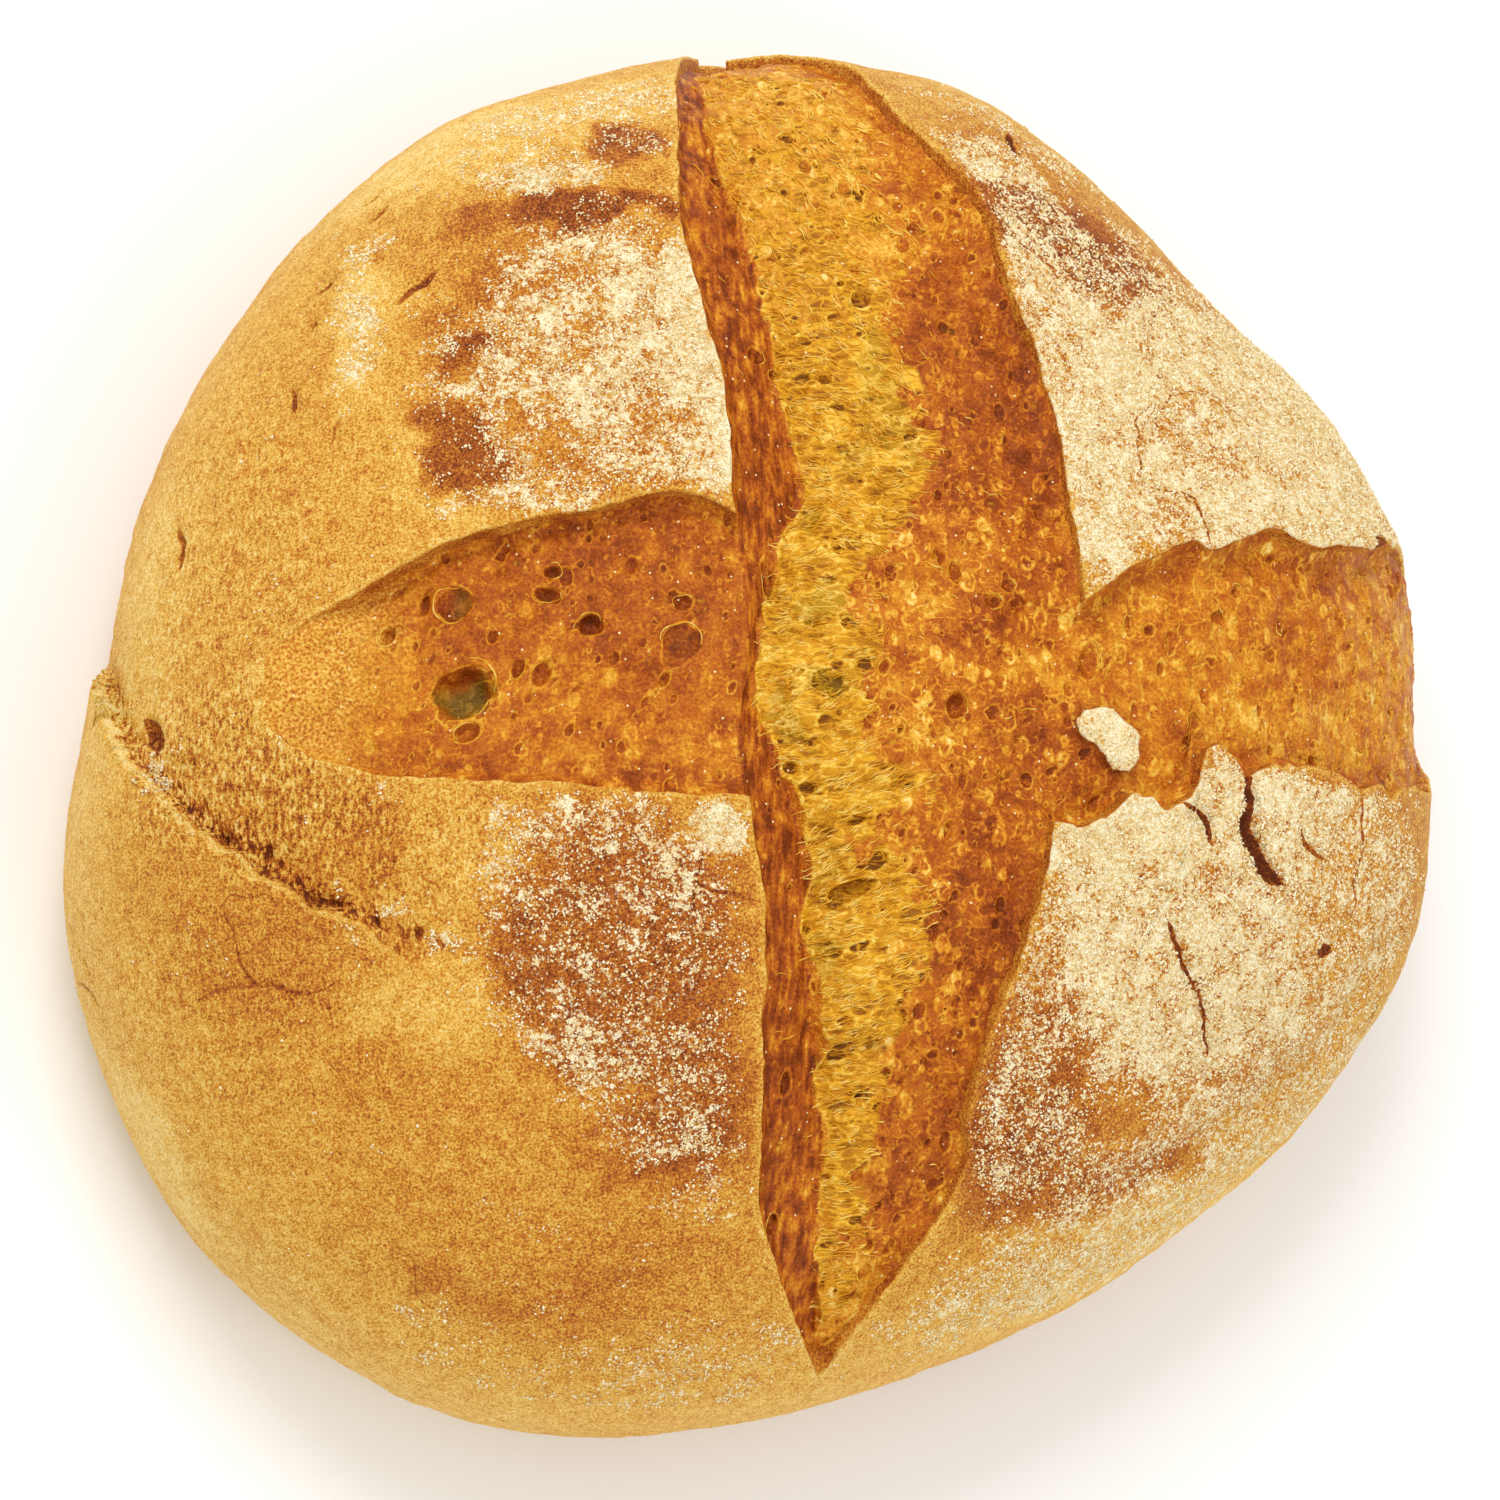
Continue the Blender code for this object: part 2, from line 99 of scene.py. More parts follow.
# Cracks and slits in the skin: path, half width, depth
CRACKS = [([(60.5, -12), (61, -18), (62, -23), (66, -28), (71, -31)], 1.2, 2.2),
          ([(48, -20), (53, -22), (55, -26)], 0.55, 1.2),
          ([(88, -12), (89, -17), (90, -22), (89.5, -28), (91, -34)], 0.32, 0.9),
          ([(73, -21), (76, -24), (80, -26)], 0.35, 0.9),
          ([(50, -41), (53, -44), (57, -49), (60, -50)], 0.5, 1.1),
          ([(57, -49), (61, -54), (63, -58), (66, -63)], 0.45, 1.1),
          ([(63, -47), (60, -51), (55, -52)], 0.2, 0.5),
          ([(50, 50), (46, 46), (45, 42), (44, 36), (44, 32)], 0.22, 0.6),
          ([(44, 33), (49, 32), (53, 31)], 0.16, 0.4),
          ([(51, 32), (53, 30), (54.5, 27), (54.5, 23)], 0.3, 0.8),
          ([(56, 53), (62, 55), (69, 52), (72, 46), (70, 41)], 0.14, 0.4),
          ([(56, 53), (51, 49), (50, 44)], 0.14, 0.4),
          ([(-99.5, -38), (-97, -44), (-95, -48.5), (-92, -50), (-86, -51), (-80, -49.5)], 0.3, 0.6),
          ([(-93, -50), (-100, -51.5), (-104, -53)], 0.24, 0.5),
          ([(-84, -51), (-81, -55)], 0.2, 0.4),
          ([(-92, -37.5), (-97, -37), (-100, -39)], 0.14, 0.4),
          ([(-104.5, -28), (-102, -29)], 0.6, 1.5),
          ([(-95.5, -29), (-95, -31.5)], 0.75, 1.6),
          ([(-88.5, -37), (-85, -38), (-81.5, -38.6)], 0.5, 1.5),
          ([(-78.5, -40.3), (-76, -42)], 0.45, 1.2),
          ([(-73, -41.5), (-73, -43.5)], 0.5, 1.2),
          ([(-70.5, -41.5), (-70.3, -43.6)], 0.8, 1.4),
          ([(-67.5, -43), (-66, -44)], 0.4, 1.0),
          ([(-108.5, -22), (-108, -24)], 0.5, 1.0),
          ([(-99.5, -25), (-99.3, -26.5)], 0.4, 0.8),
          ([(-113, -14), (-112, -16.5)], 0.4, 0.8),
          ([(-92.6, -31), (-92.5, -32.5)], 0.4, 0.8),
          ([(-70, -87), (-66, -91), (-65, -97), (-61, -101)], 0.16, 0.4),
          ([(-30, -29), (-31, -34), (-30.5, -38)], 0.22, 0.5),
          ([(-31, -34), (-26, -35), (-22, -36.5)], 0.22, 0.5),
          ([(-125, 33), (-124, 28), (-123, 22)], 0.7, 1.2),
          ([(-81, 66), (-77, 68), (-73, 71)], 0.6, 1.0),
          ([(-94, 75), (-91, 77)], 0.6, 1.0),
          ([(-100, 53), (-100, 48)], 0.6, 1.0),
          ([(-84, 90), (-81, 93)], 0.5, 0.8),
          ([(-96, 66), (-95, 68)], 0.5, 0.8),
          ([(-94, 39.5), (-92.5, 42.5), (-91, 45)], 0.25, 0.6),
          ([(-86, 97), (-84.5, 97.5), (-82, 99)], 0.5, 0.8),
          ([(-79, 66), (-76, 68.5), (-74, 70)], 0.5, 0.8),
          ([(-127, -6.5), (-124.5, -9.5), (-122, -13)], 2.0, 2.4),
          ([(-140, -44), (-136, -50), (-131, -54)], 0.5, 1.0),
          ([(-146, -57), (-137, -56), (-128, -58)], 0.4, 0.8),
          ([(33, 98), (35, 104)], 1.1, 1.6),
          ([(113, -46), (115, -52)], 0.9, 1.2),
          ([(85, -40), (88, -40)], 1.3, 0.8),
          ([(98, 33), (101, 34), (104, 34.5)], 0.8, 1.0)]

# Semolina dusted on the skin, painted in turn: place, half width, half height, turn, cover
DUSTINGS = [(-88, 62, 6, 17, -10, 0.43), (-84, 80, 6, 5, 0, 0.34), (-46, 106, 24, 8, 0, 0.42),
            (-60, 94, 15, 7, 0, 0.34), (-52, 88, 13, 4, 0, 0.56), (-38, 93, 7, 6, 0, 0.36),
            (-44, 51, 16, 25, 0, 0.60), (-32, 51, 5, 26, 0, 0.72), (-55, 62, 13, 14, 0, 0.50),
            (-66, 50, 12, 10, 30, 0.50), (-47, 79, 15, 2.6, 4, 0.26), (-61, 79, 6.5, 3, 10, 0.08),
            (-70, 53, 5.5, 2, 33, 0.14), (-68.5, 60, 6, 1.2, 18, 0.16), (-65, 66.5, 7.5, 1.4, 18, 0.18),
            (-57, 62, 5, 1.0, 45, 0.22), (-66, 36, 6, 8, 0, 0.40), (-73.5, 36, 5, 6.5, 0, 0.14),
            (-62, 27, 14, 5, 0, 0.46), (-45, 37, 12, 8, 0, 0.50),
            (68, 50, 54, 38, 0, 0.64), (28, 92, 14, 8, -20, 0.50), (40, 77, 18, 8, -10, 0.44),
            (62, 82, 15, 7, -20, 0.40), (92, 96, 32, 10, -35, 0.22), (38, 107, 22, 8, -20, 0.32),
            (58, 45, 11, 9, 0, 0.52), (40, 34, 9, 12, 0, 0.58), (116, 48, 12, 20, 0, 0.42),
            (60, 64, 12, 8, 0, 0.60), (40, 52, 12, 8, 10, 0.74), (32, 38, 8, 32, 4, 0.64),
            (28, 66, 6, 18, 12, 0.56),
            (62, -42, 46, 32, 0, 0.56), (58, -52, 24, 15, -15, 0.62), (70, -20, 34, 9, 0, 0.64),
            (26, -60, 8, 16, 0, 0.48), (30, -80, 13, 12, 20, 0.42), (52, -86, 16, 7, 10, 0.40),
            (98, -32, 20, 22, 0, 0.46), (76, -69, 22, 8, 30, 0.46), (56, -104, 48, 18, 15, 0.44),
            (106, -60, 14, 22, -20, 0.42), (88, -78, 16, 14, 40, 0.46), (40, -27, 14, 8, 0, 0.72),
            (-41, -42, 20, 19, 0, 0.38), (-32, -64, 12, 14, 20, 0.38), (-24, -82, 5, 8, 30, 0.32),
            (-58, -31, 4, 8, 0, 0.46), (-46, -26, 14, 4, 0, 0.46), (-27, -27, 5, 4, 0, 0.78),
            (-33, -33, 5, 4, 0, 0.54), (-46, -57, 11, 4, -20, 0.46), (-30, -72, 7, 4, 0, 0.44),
            (-64, -41.5, 5, 1.5, 0, 0.44), (-75, -39, 1.6, 2, 0, 0.44), (-82, -35, 1.6, 2, 0, 0.44),
            (-79, -42, 4, 1.2, -20, 0.40), (-79, -24, 3, 6, 0, 0.24), (-93, -17, 3, 2, 0, 0.30),
            (-47, -98, 14, 8, 0, 0.14), (-64, -99, 3, 3, 0, 0.34), (-42, -112, 30, 9, 0, 0.20),
            (-20, -116, 18, 10, 0, 0.30), (-122, -17, 7, 1.8, -42, 0.50), (-52, -83, 10, 4, 0, 0.22)]

# How far the skin has browned, painted in turn: place, half width, half height, turn, browning
SKIN_BROWNING = [(-100, 20, 26, 50, 0, 0.40), (-106, 1, 20, 18, 0, 0.41), (-88, 62, 7, 18, -10, 0.21),
                 (-80, 44, 6, 26, 14, 0.30), (-56, 104, 40, 13, 8, 0.25),
                 (-55, 52, 25, 30, 0, 0.55), (-73.5, 36, 6, 7.5, 0, 0.78),
                 (-47, 79, 16, 3.4, 4, 0.84), (-61, 79, 8, 4, 10, 0.66), (-38, 93, 7, 6.5, 0, 0.74),
                 (-70, 53, 6, 2.4, 33, 0.78), (-66, 64, 9, 4.5, 18, 0.62),
                 (68, 50, 54, 40, 0, 0.50), (40, 78, 26, 12, -10, 0.74), (30, 97, 16, 10, 0, 0.48),
                 (60, -45, 46, 36, 0, 0.53), (28, -74, 16, 22, 20, 0.70), (52, -88, 26, 8, 12, 0.64),
                 (98, -30, 24, 26, 0, 0.44), (54, -106, 46, 14, 15, 0.32),
                 (-41, -45, 20, 22, 0, 0.72), (-32, -66, 12, 16, 20, 0.70), (-97, -22, 26, 9, -25, 0.39),
                 (-91, -26, 12, 7, -20, 0.44), (-80, -30, 6, 9, 0, 0.49), (-68, -32, 8, 10, 0, 0.36),
                 (-94, -46, 18, 12, -8, 0.49), (-66, -54, 12, 9, 0, 0.30), (-60, -66, 22, 7, 0, 0.43),
                 (-76, -63, 9, 5, 0, 0.47), (-63, -84, 18, 9, 0, 0.42), (-36, -92, 12, 8, 0, 0.44),
                 (-47, -98, 14, 8, 0, 0.50), (-45, -112, 34, 9, 0, 0.42), (-64, -93, 4.5, 3, 0, 0.54),
                 (-118, -84, 8, 22, 40, 0.24), (-132, 0, 12, 44, 0, 0.33)]
GOLDEN = 0.40

# Where the finish turns into the underside's, by reach from the crown, and the side left palest
UNDER_REACH = (138, 172)
PALE_TURN = 218
PALE_SPREAD = 38

# What the finish reads on the flat base
BASE_VALUES = {"bake": 0.55, "flour": 0.35, "fibre": 0.25, "crack_away": 5, "crack_half": 0,
               "tear_away": 9, "tear_share": 0}

# Skin drawn out into fine upright fibres: place, half width, half height, turn, share
FIBROUS_SKIN = [(-112, 15, 20, 45, 0, 0.6), (-98, -22, 30, 12, -25, 1.2), (-73, -33, 16, 9, 0, 0.7),
                (-66, -62, 20, 14, 0, 0.2), (-100, -55, 26, 14, 0, 0.45)]

# Mesh cells across and up each quarter of the top, rows from the girth to the base, and the sizes
# of the rings across the base
QUADRANT_COLUMNS = 132
QUADRANT_ROWS = 138
RIM_ROWS = 12
BASE_SHARES = np.array([0.96, 0.75, 0.45, 0.15])


def curve_through(x, places, values):
    """Smooth curve through the given values: a cubic Hermite with mean slopes at each place."""
    places = np.asarray(places, float)
    values = np.asarray(values, float)
    slopes = np.gradient(values, places)
    x = np.clip(x, places[0], places[-1])
    k = np.clip(np.searchsorted(places, x) - 1, 0, len(places) - 2)
    width = places[k + 1] - places[k]
    t = (x - places[k]) / width
    rise = values[k + 1] - values[k]
    bend_in = slopes[k] * width - rise
    bend_out = rise - slopes[k + 1] * width
    return values[k] + t * rise + t * (1 - t) * ((1 - t) * bend_in + t * bend_out)


def smoothstep(x, low, high):
    """0 below low, 1 above high, and a smooth S between them."""
    t = np.clip((x - low) / (high - low), 0, 1)
    return t * t * (3 - 2 * t)


def waves(x, y, length, seed):
    """Uneven waves about 0: random heights on a square net, joined smoothly."""
    net = np.random.default_rng(seed).uniform(-1, 1, (64, 64))
    u, v = x / length + 100, y / length + 100
    i, j = np.floor(u).astype(int), np.floor(v).astype(int)
    a, b = smoothstep(u - i, 0, 1), smoothstep(v - j, 0, 1)
    near = net[i % 64, j % 64] * (1 - a) + net[(i + 1) % 64, j % 64] * a
    far = net[i % 64, (j + 1) % 64] * (1 - a) + net[(i + 1) % 64, (j + 1) % 64] * a
    return near * (1 - b) + far * b


def profile():
    """Side view of the crust from crown to base, against the length measured along it.

    The dome is a quarter of a superellipse from the crown to the girth, and the underside
    another from the girth to the base. Returns length, share of the plan radius, inset, height.
    """
    angle = np.linspace(0, np.pi / 2, 400)
    share = np.sin(angle) ** (2 / DOME_ROUND)
    height = GIRTH_HEIGHT + (HEIGHT - GIRTH_HEIGHT) * np.cos(angle) ** (2 / DOME_FALL)
    under_height = GIRTH_HEIGHT * (1 - np.sin(angle) ** (2 / UNDER_ROUND))
    under_inset = BASE_INSET * (1 - np.cos(angle) ** (2 / UNDER_ROUND))
    share = np.concatenate([share, np.ones(399)])
    inset = np.concatenate([np.zeros(400), under_inset[1:]])
    height = np.concatenate([height, under_height[1:]])
    across = MEAN_RADIUS * share - inset
    steps = np.hypot(np.diff(across), np.diff(height))
    length = np.concatenate([[0], np.cumsum(steps)])
    return length, share, inset, height


LENGTH, SHARE, INSET, RISE = profile()
GIRTH_REACH = LENGTH[399]
BASE_REACH = LENGTH[-1]


def plan_radius(angle):
    """Radius of the loaf's plan at an angle: a smooth closed curve through the plan radii."""
    count = len(PLAN_RADII)
    turns = np.arange(-2, count + 3) * 2 * np.pi / count
    radii = [PLAN_RADII[k % count] for k in range(-2, count + 3)]
    return curve_through(angle % (2 * np.pi), turns, radii)


def bare_loaf(x, y):
    """Point of the smooth loaf under a point of the flat peel."""
    reach = np.hypot(x, y)
    angle = np.arctan2(y, x)
    share = np.interp(reach, LENGTH, SHARE)
    across = share * plan_radius(angle) - np.interp(reach, LENGTH, INSET)
    shift = 1 - share ** 2
    return np.stack([CROWN_SHIFT[0] * shift + across * np.cos(angle),
                     CROWN_SHIFT[1] * shift + across * np.sin(angle),
                     np.interp(reach, LENGTH, RISE)], -1)


def outward(x, y):
    """Outward direction of the smooth loaf: the cross product of two short steps on it."""
    step = 1.5
    along = bare_loaf(x + step, y) - bare_loaf(x - step, y)
    up = bare_loaf(x, y + step) - bare_loaf(x, y - step)
    normal = np.cross(along, up)
    return normal / np.linalg.norm(normal, axis=-1, keepdims=True)


def wrap(x, y, height):
    """Point at a height over the smooth loaf; the relief dies out towards the base."""
    settle = 1 - smoothstep(np.hypot(x, y), GIRTH_REACH + 4, BASE_REACH)
    point = bare_loaf(x, y) + outward(x, y) * (height * settle)[..., None]
    return np.where(settle[..., None] > 0, point, bare_loaf(x, y))


def ragged(along, seed, size):
    """Small raggedness of a torn edge: two waves along it."""
    rest = np.zeros_like(along)
    return size * (waves(along, rest, 4.5, seed) + 0.6 * waves(along, rest, 1.7, seed + 1))


def closed_tip(x, y):
    """1 at the left arm's tip, where skin and crumb run together, and 0 where it is open."""
    return 1 - smoothstep(x + 5 * waves(x, y, 6, 64), *TIP_CLOSING)


def long_lips(y):
    """Left and right lip of the long cut."""
    left = curve_through(y, CUT_Y, CUT_LEFT) + ragged(y, 31, 0.3)
    right = curve_through(y, CUT_Y, CUT_RIGHT) + ragged(y, 33, 0.45)
    return left, np.maximum(right, left + 0.3)


def short_lips(x):
    """Lower and upper lip of the short cut, of the left arm where x is below 0."""
    left_low = curve_through(x, LEFT_ARM_X, LEFT_ARM_LOWER)
    left_high = curve_through(x, LEFT_ARM_X, LEFT_ARM_UPPER)
    right_low = np.interp(x, *np.transpose(RIGHT_LOWER_LIP))
    right_high = np.interp(x, *np.transpose(RIGHT_UPPER_LIP))
    low = np.where(x < 0, left_low, right_low) + ragged(x, 35, 0.35 + 0.6 * (x > 30))
    high = np.where(x < 0, left_high, right_high) + ragged(x, 37, 0.35)
    return low, np.maximum(high, low + 0.3)


def path_distance(x, y, points):
    """Distance to a smooth path, signed by side, and the share of the path passed."""
    points = np.array(points, float)
    stations = np.linspace(0, len(points) - 1, 90)
    path_x = curve_through(stations, np.arange(len(points)), points[:, 0])
    path_y = curve_through(stations, np.arange(len(points)), points[:, 1])
    gap_x = x[..., None] - path_x
    gap_y = y[..., None] - path_y
    nearest = np.argmin(gap_x ** 2 + gap_y ** 2, -1)
    away_x = np.take_along_axis(gap_x, nearest[..., None], -1)[..., 0]
    away_y = np.take_along_axis(gap_y, nearest[..., None], -1)[..., 0]
    way_x = np.gradient(path_x)[nearest]
    way_y = np.gradient(path_y)[nearest]
    side = np.sign(way_y * away_x - way_x * away_y)
    return side * np.hypot(away_x, away_y), nearest / (len(stations) - 1)


def cracks(x, y):
    """Depth of the cracks and slits, the distance to the nearest, and its half width there.

    Each is a rounded groove that tapers to its ends. The half width is 0 away from them all.
    """
    depth = np.zeros_like(x)
    nearest = np.full_like(x, 5.0)
    width = np.zeros_like(x)
    shift_x = 0.7 * waves(x, y, 3.1, 41)
    shift_y = 0.7 * waves(x, y, 3.1, 42)
    for points, half, deep in CRACKS:
        corners = np.array(points)
        low, high = corners.min(0) - 5, corners.max(0) + 5
        near = (x > low[0]) & (x < high[0]) & (y > low[1]) & (y < high[1])
        away, passed = path_distance(x[near] + shift_x[near], y[near] + shift_y[near], points)
        taper = 0.25 + 0.75 * np.sqrt(np.clip(4 * passed * (1 - passed), 0, 1))
        groove = 1 - smoothstep(np.abs(away) / taper, 0.3 * half, 0.5 + half)
        depth[near] = np.maximum(depth[near], deep * groove * taper * min(1, half + 0.3))
        closer = np.abs(away) < np.abs(nearest[near])
        nearest[near] = np.where(closer, away, nearest[near])
        wide = half * taper * (np.abs(away) < half + 1.3)
        width[near] = np.where(closer, wide, width[near])
    return depth, nearest, width


def tear(x, y):
    """Height along the torn side, the distance to its edge (above 0 on the flap), and its share."""
    wander = 1.3 * waves(x, y, 9, 45) + 0.7 * waves(x, y, 3.2, 46)
    side, passed = path_distance(x, y, TEAR_PATH)
    side = side + wander
    share = (1 - smoothstep(passed, 0.72, 1)) * smoothstep(passed, 0, 0.06)
    flap = smoothstep(side, -0.5, 0.6)
    lower = np.exp(-np.maximum(side, 0) / TEAR_REACH) * flap
    upper = np.exp(-np.maximum(-side, 0) / 6) * (1 - flap)
    fibres = np.exp(-((side + 5) / 5) ** 2) * (side < 0.5) * share
    strands = np.abs(waves(x + 0.2 * y, (y - 0.2 * x) * 0.22, 1.7, 47))
    height = share * (TEAR_STEP * lower - TEAR_HOLLOW * upper) - 0.9 * fibres * strands
    return height, side, share


def skin_height(x, y, away):
    """Height of the skin over the smooth loaf, at a distance from the cuts' lips."""
    height = LIP_LIFT * np.exp(-away / LIP_REACH)
    fold, passed = path_distance(x, y, FOLD_PATH)
    strength = smoothstep(passed, 0, 0.2) * (1 - smoothstep(passed, 0.8, 1))
    height += tear(x, y)[0] - FOLD_DEPTH * strength * np.exp(-(fold / FOLD_WIDTH) ** 2)
    for k, (length, size) in enumerate(CRUST_WAVES):
        height += size * waves(x, y, length, NOISE_SEED + k)
    return height - cracks(x, y)[0]


def painted(x, y, start, patches, seed):
    """Soft ovals painted one over another, their edges made ragged by waves."""
    value = np.full_like(x, start)
    ragged_x = x + 2.5 * waves(x, y, 16, seed) + 2.5 * waves(x, y, 5.5, seed + 1)
    ragged_y = y + 2.5 * waves(x, y, 16, seed + 2) + 2.5 * waves(x, y, 5.5, seed + 3)
    ragged_x += 1.5 * waves(x, y, 2.1, seed + 4)
    ragged_y += 1.5 * waves(x, y, 2.1, seed + 5)
    for middle_x, middle_y, half_x, half_y, turn, paint in patches:
        c, s = np.cos(np.radians(turn)), np.sin(np.radians(turn))
        dx, dy = ragged_x - middle_x, ragged_y - middle_y
        away = np.hypot((dx * c + dy * s) / half_x, (dy * c - dx * s) / half_y)
        cover = 1 - smoothstep(away, 0.6, 1.3)
        value = value * (1 - cover) + paint * cover
    return value


def spread(place, low, high, least, most):
    """Half width that mesh lines keep at least past the cuts' ends."""
    end = smoothstep(place, -high, -low) * (1 - smoothstep(place, low, high))
    return least + (most - least) * (1 - end)


def upright_line(y, side):
    """Mesh line along the left (-1) or right (+1) lip of the long cut."""
    left, right = long_lips(y)
    half = np.maximum((right - left) / 2, spread(y, 136, 147, 0.8, 6))
    return (left + right) / 2 + side * half


def level_line(x, side):
    """Mesh line along the lower (-1) or upper (+1) lips of the short cut."""
    low, high = short_lips(x)
    half = np.maximum((high - low) / 2, spread(x, 108, 147, 0.8, 6))
    return (low + high) / 2 + side * half


def crossing(upright_side, level_side):
    """Point where a mesh line of the long cut meets one of the short cut."""
    x = upright_side * 28.0
    for _ in range(30):
        y = float(level_line(np.array(x), level_side))
        x = float(upright_line(np.array(y), upright_side))
    return x, y


def rim_meeting(line, side, end):
    """Distance along a line at which it reaches the girth, at its low (-1) or high (+1) end."""
    along = end * GIRTH_REACH
    for _ in range(30):
        across = float(line(np.array(along), side))
        along = end * np.sqrt(GIRTH_REACH ** 2 - across ** 2)
    return along


def girth_arc(start, end, count):
    """Points of the girth from one angle to another."""
    angle = np.linspace(start, end, count + 1)
    return GIRTH_REACH * np.stack([np.cos(angle), np.sin(angle)], -1)


def coons(left, right, low, high):
    """Patch that blends its four sides, each a row of points: a Coons patch."""
    u = np.linspace(0, 1, len(low))[:, None, None]
    v = np.linspace(0, 1, len(left))[None, :, None]
    corners = ((1 - u) * (1 - v) * low[0] + u * (1 - v) * low[-1]
               + (1 - u) * v * high[0] + u * v * high[-1])
    return ((1 - u) * left[None] + u * right[None] + (1 - v) * low[:, None]
            + v * high[:, None] - corners)


# The skin rolls over at each lip and drops to a floor hidden under the crumb: inset and drop
LIP_ROLL = [(0, 0), (0.15, 0.08), (0.28, 0.32), (0.32, 0.8), (0.35, 3.0), (0.9, 7.0), (3.0, 11.0)]
roll_inset = np.array([r[0] for r in LIP_ROLL])
roll_drop = np.array([r[1] for r in LIP_ROLL])
trough_inset = np.concatenate([roll_inset, roll_inset[::-1]])
trough_drop = np.concatenate([roll_drop, roll_drop[::-1]])
trough_cells = len(trough_inset) - 1


def across_trough(start, end):
    """Points of the trough between pairs of lip points, set in from each by the lip's roll."""
    gap = end - start
    width = np.linalg.norm(gap, axis=-1)[None, :]
    share = np.minimum(roll_inset[:, None] / width, 0.45)
    share = np.concatenate([share, 1 - share[::-1]])[..., None]
    return start[None] * (1 - share) + end[None] * share


def crust_layout():
    """Flat place and trough drop of every point of the skin's grid."""
    meet = {(a, b): np.array(crossing(a, b)) for a in (-1, 1) for b in (-1, 1)}
    columns = 2 * QUADRANT_COLUMNS + trough_cells
    rows = 2 * QUADRANT_ROWS + trough_cells
    flat = np.zeros((columns + 1, rows + 1, 2))
    drop = np.zeros((columns + 1, rows + 1))
    low_i = {-1: 0, 1: QUADRANT_COLUMNS + trough_cells}
    low_j = {-1: 0, 1: QUADRANT_ROWS + trough_cells}
    uprights = {}
    levels = {}

    # Mesh lines along the lips, from where the cuts cross out to the girth
    for a in (-1, 1):
        for b in (-1, 1):
            y = np.linspace(meet[a, b][1], rim_meeting(upright_line, a, b), QUADRANT_ROWS + 1)
            uprights[a, b] = np.stack([upright_line(y, a), y], -1)[::b]
            x = np.linspace(meet[a, b][0], rim_meeting(level_line, b, a), QUADRANT_COLUMNS + 1)
            levels[a, b] = np.stack([x, level_line(x, b)], -1)[::a]
            uprights[a, b][0 if b > 0 else -1] = meet[a, b]
            levels[a, b][0 if a > 0 else -1] = meet[a, b]

    # The four quarters of skin between the lips and the girth
    for a in (-1, 1):
        for b in (-1, 1):
            corner = np.arctan2(b, a)
            side_end = levels[a, b][-1 if a > 0 else 0]
            top_end = uprights[a, b][-1 if b > 0 else 0]
            side_turn = np.arctan2(side_end[1], side_end[0])
            top_turn = np.arctan2(top_end[1], top_end[0])
            turns = np.unwrap([side_turn, corner, top_turn])
            side_arc = girth_arc(turns[0], turns[1], QUADRANT_ROWS)[::b]
            top_arc = girth_arc(turns[2], turns[1], QUADRANT_COLUMNS)[::a]
            left, right = (uprights[a, b], side_arc) if a > 0 else (side_arc, uprights[a, b])
            low, high = (levels[a, b], top_arc) if b > 0 else (top_arc, levels[a, b])
            block = coons(left, right, low, high)
            i, j = low_i[a], low_j[b]
            flat[i:i + QUADRANT_COLUMNS + 1, j:j + QUADRANT_ROWS + 1] = block

    # The troughs of the long and the short cut, and where they cross
    middle_i = slice(QUADRANT_COLUMNS, QUADRANT_COLUMNS + trough_cells + 1)
    middle_j = slice(QUADRANT_ROWS, QUADRANT_ROWS + trough_cells + 1)
    for b in (-1, 1):
        j = slice(low_j[b], low_j[b] + QUADRANT_ROWS + 1)
        place = across_trough(uprights[-1, b], uprights[1, b])
        left, right = long_lips(uprights[-1, b][:, 1])
        flat[middle_i, j] = place
        drop[middle_i, j] = trough_drop[:, None] * smoothstep(right - left, 0.6, 12)
    for a in (-1, 1):
        i = slice(low_i[a], low_i[a] + QUADRANT_COLUMNS + 1)
        place = across_trough(levels[a, -1], levels[a, 1])
        low, high = short_lips(levels[a, -1][:, 0])
        flat[i, middle_j] = np.swapaxes(place, 0, 1)
        depth = smoothstep(high - low, 0.6, 12) * (1 - closed_tip(*levels[a, -1].T))
        drop[i, middle_j] = (trough_drop[:, None] * depth).T
    low_row = across_trough(meet[-1, -1][None], meet[1, -1][None])
    high_row = across_trough(meet[-1, 1][None], meet[1, 1][None])
    share = np.clip(trough_inset / 45, 0, 0.45)
    share[len(roll_inset):] = 1 - share[len(roll_inset):]
    share = share[None, :, None]
    flat[middle_i, middle_j] = low_row * (1 - share) + high_row * share
    drop[middle_i, middle_j] = np.maximum(trough_drop[:, None], trough_drop[None, :])
    return flat, drop


def grid_quads(index):
    """Quads of a grid of point numbers, wound the same way as the grid's two directions."""
    quads = [index[:-1, :-1], index[1:, :-1], index[1:, 1:], index[:-1, 1:]]
    return np.stack(quads, -1).reshape(-1, 4)


def new_piece(name, points, faces, attributes, material):
    """Object from points in millimetres, arrays of faces, and a row of point values for each name."""
    mesh = bpy.data.meshes.new(name)
    mesh.from_pydata((points * MM).tolist(), [], sum([part.tolist() for part in faces], []))
    for key, values in attributes.items():
        layer = mesh.attributes.new(key, "FLOAT", "POINT")
        layer.data.foreach_set("value", np.asarray(values, np.float32))
    mesh.materials.append(material)
    mesh.shade_smooth()
    piece = bpy.data.objects.new(name, mesh)
    bpy.context.collection.objects.link(piece)
    return piece


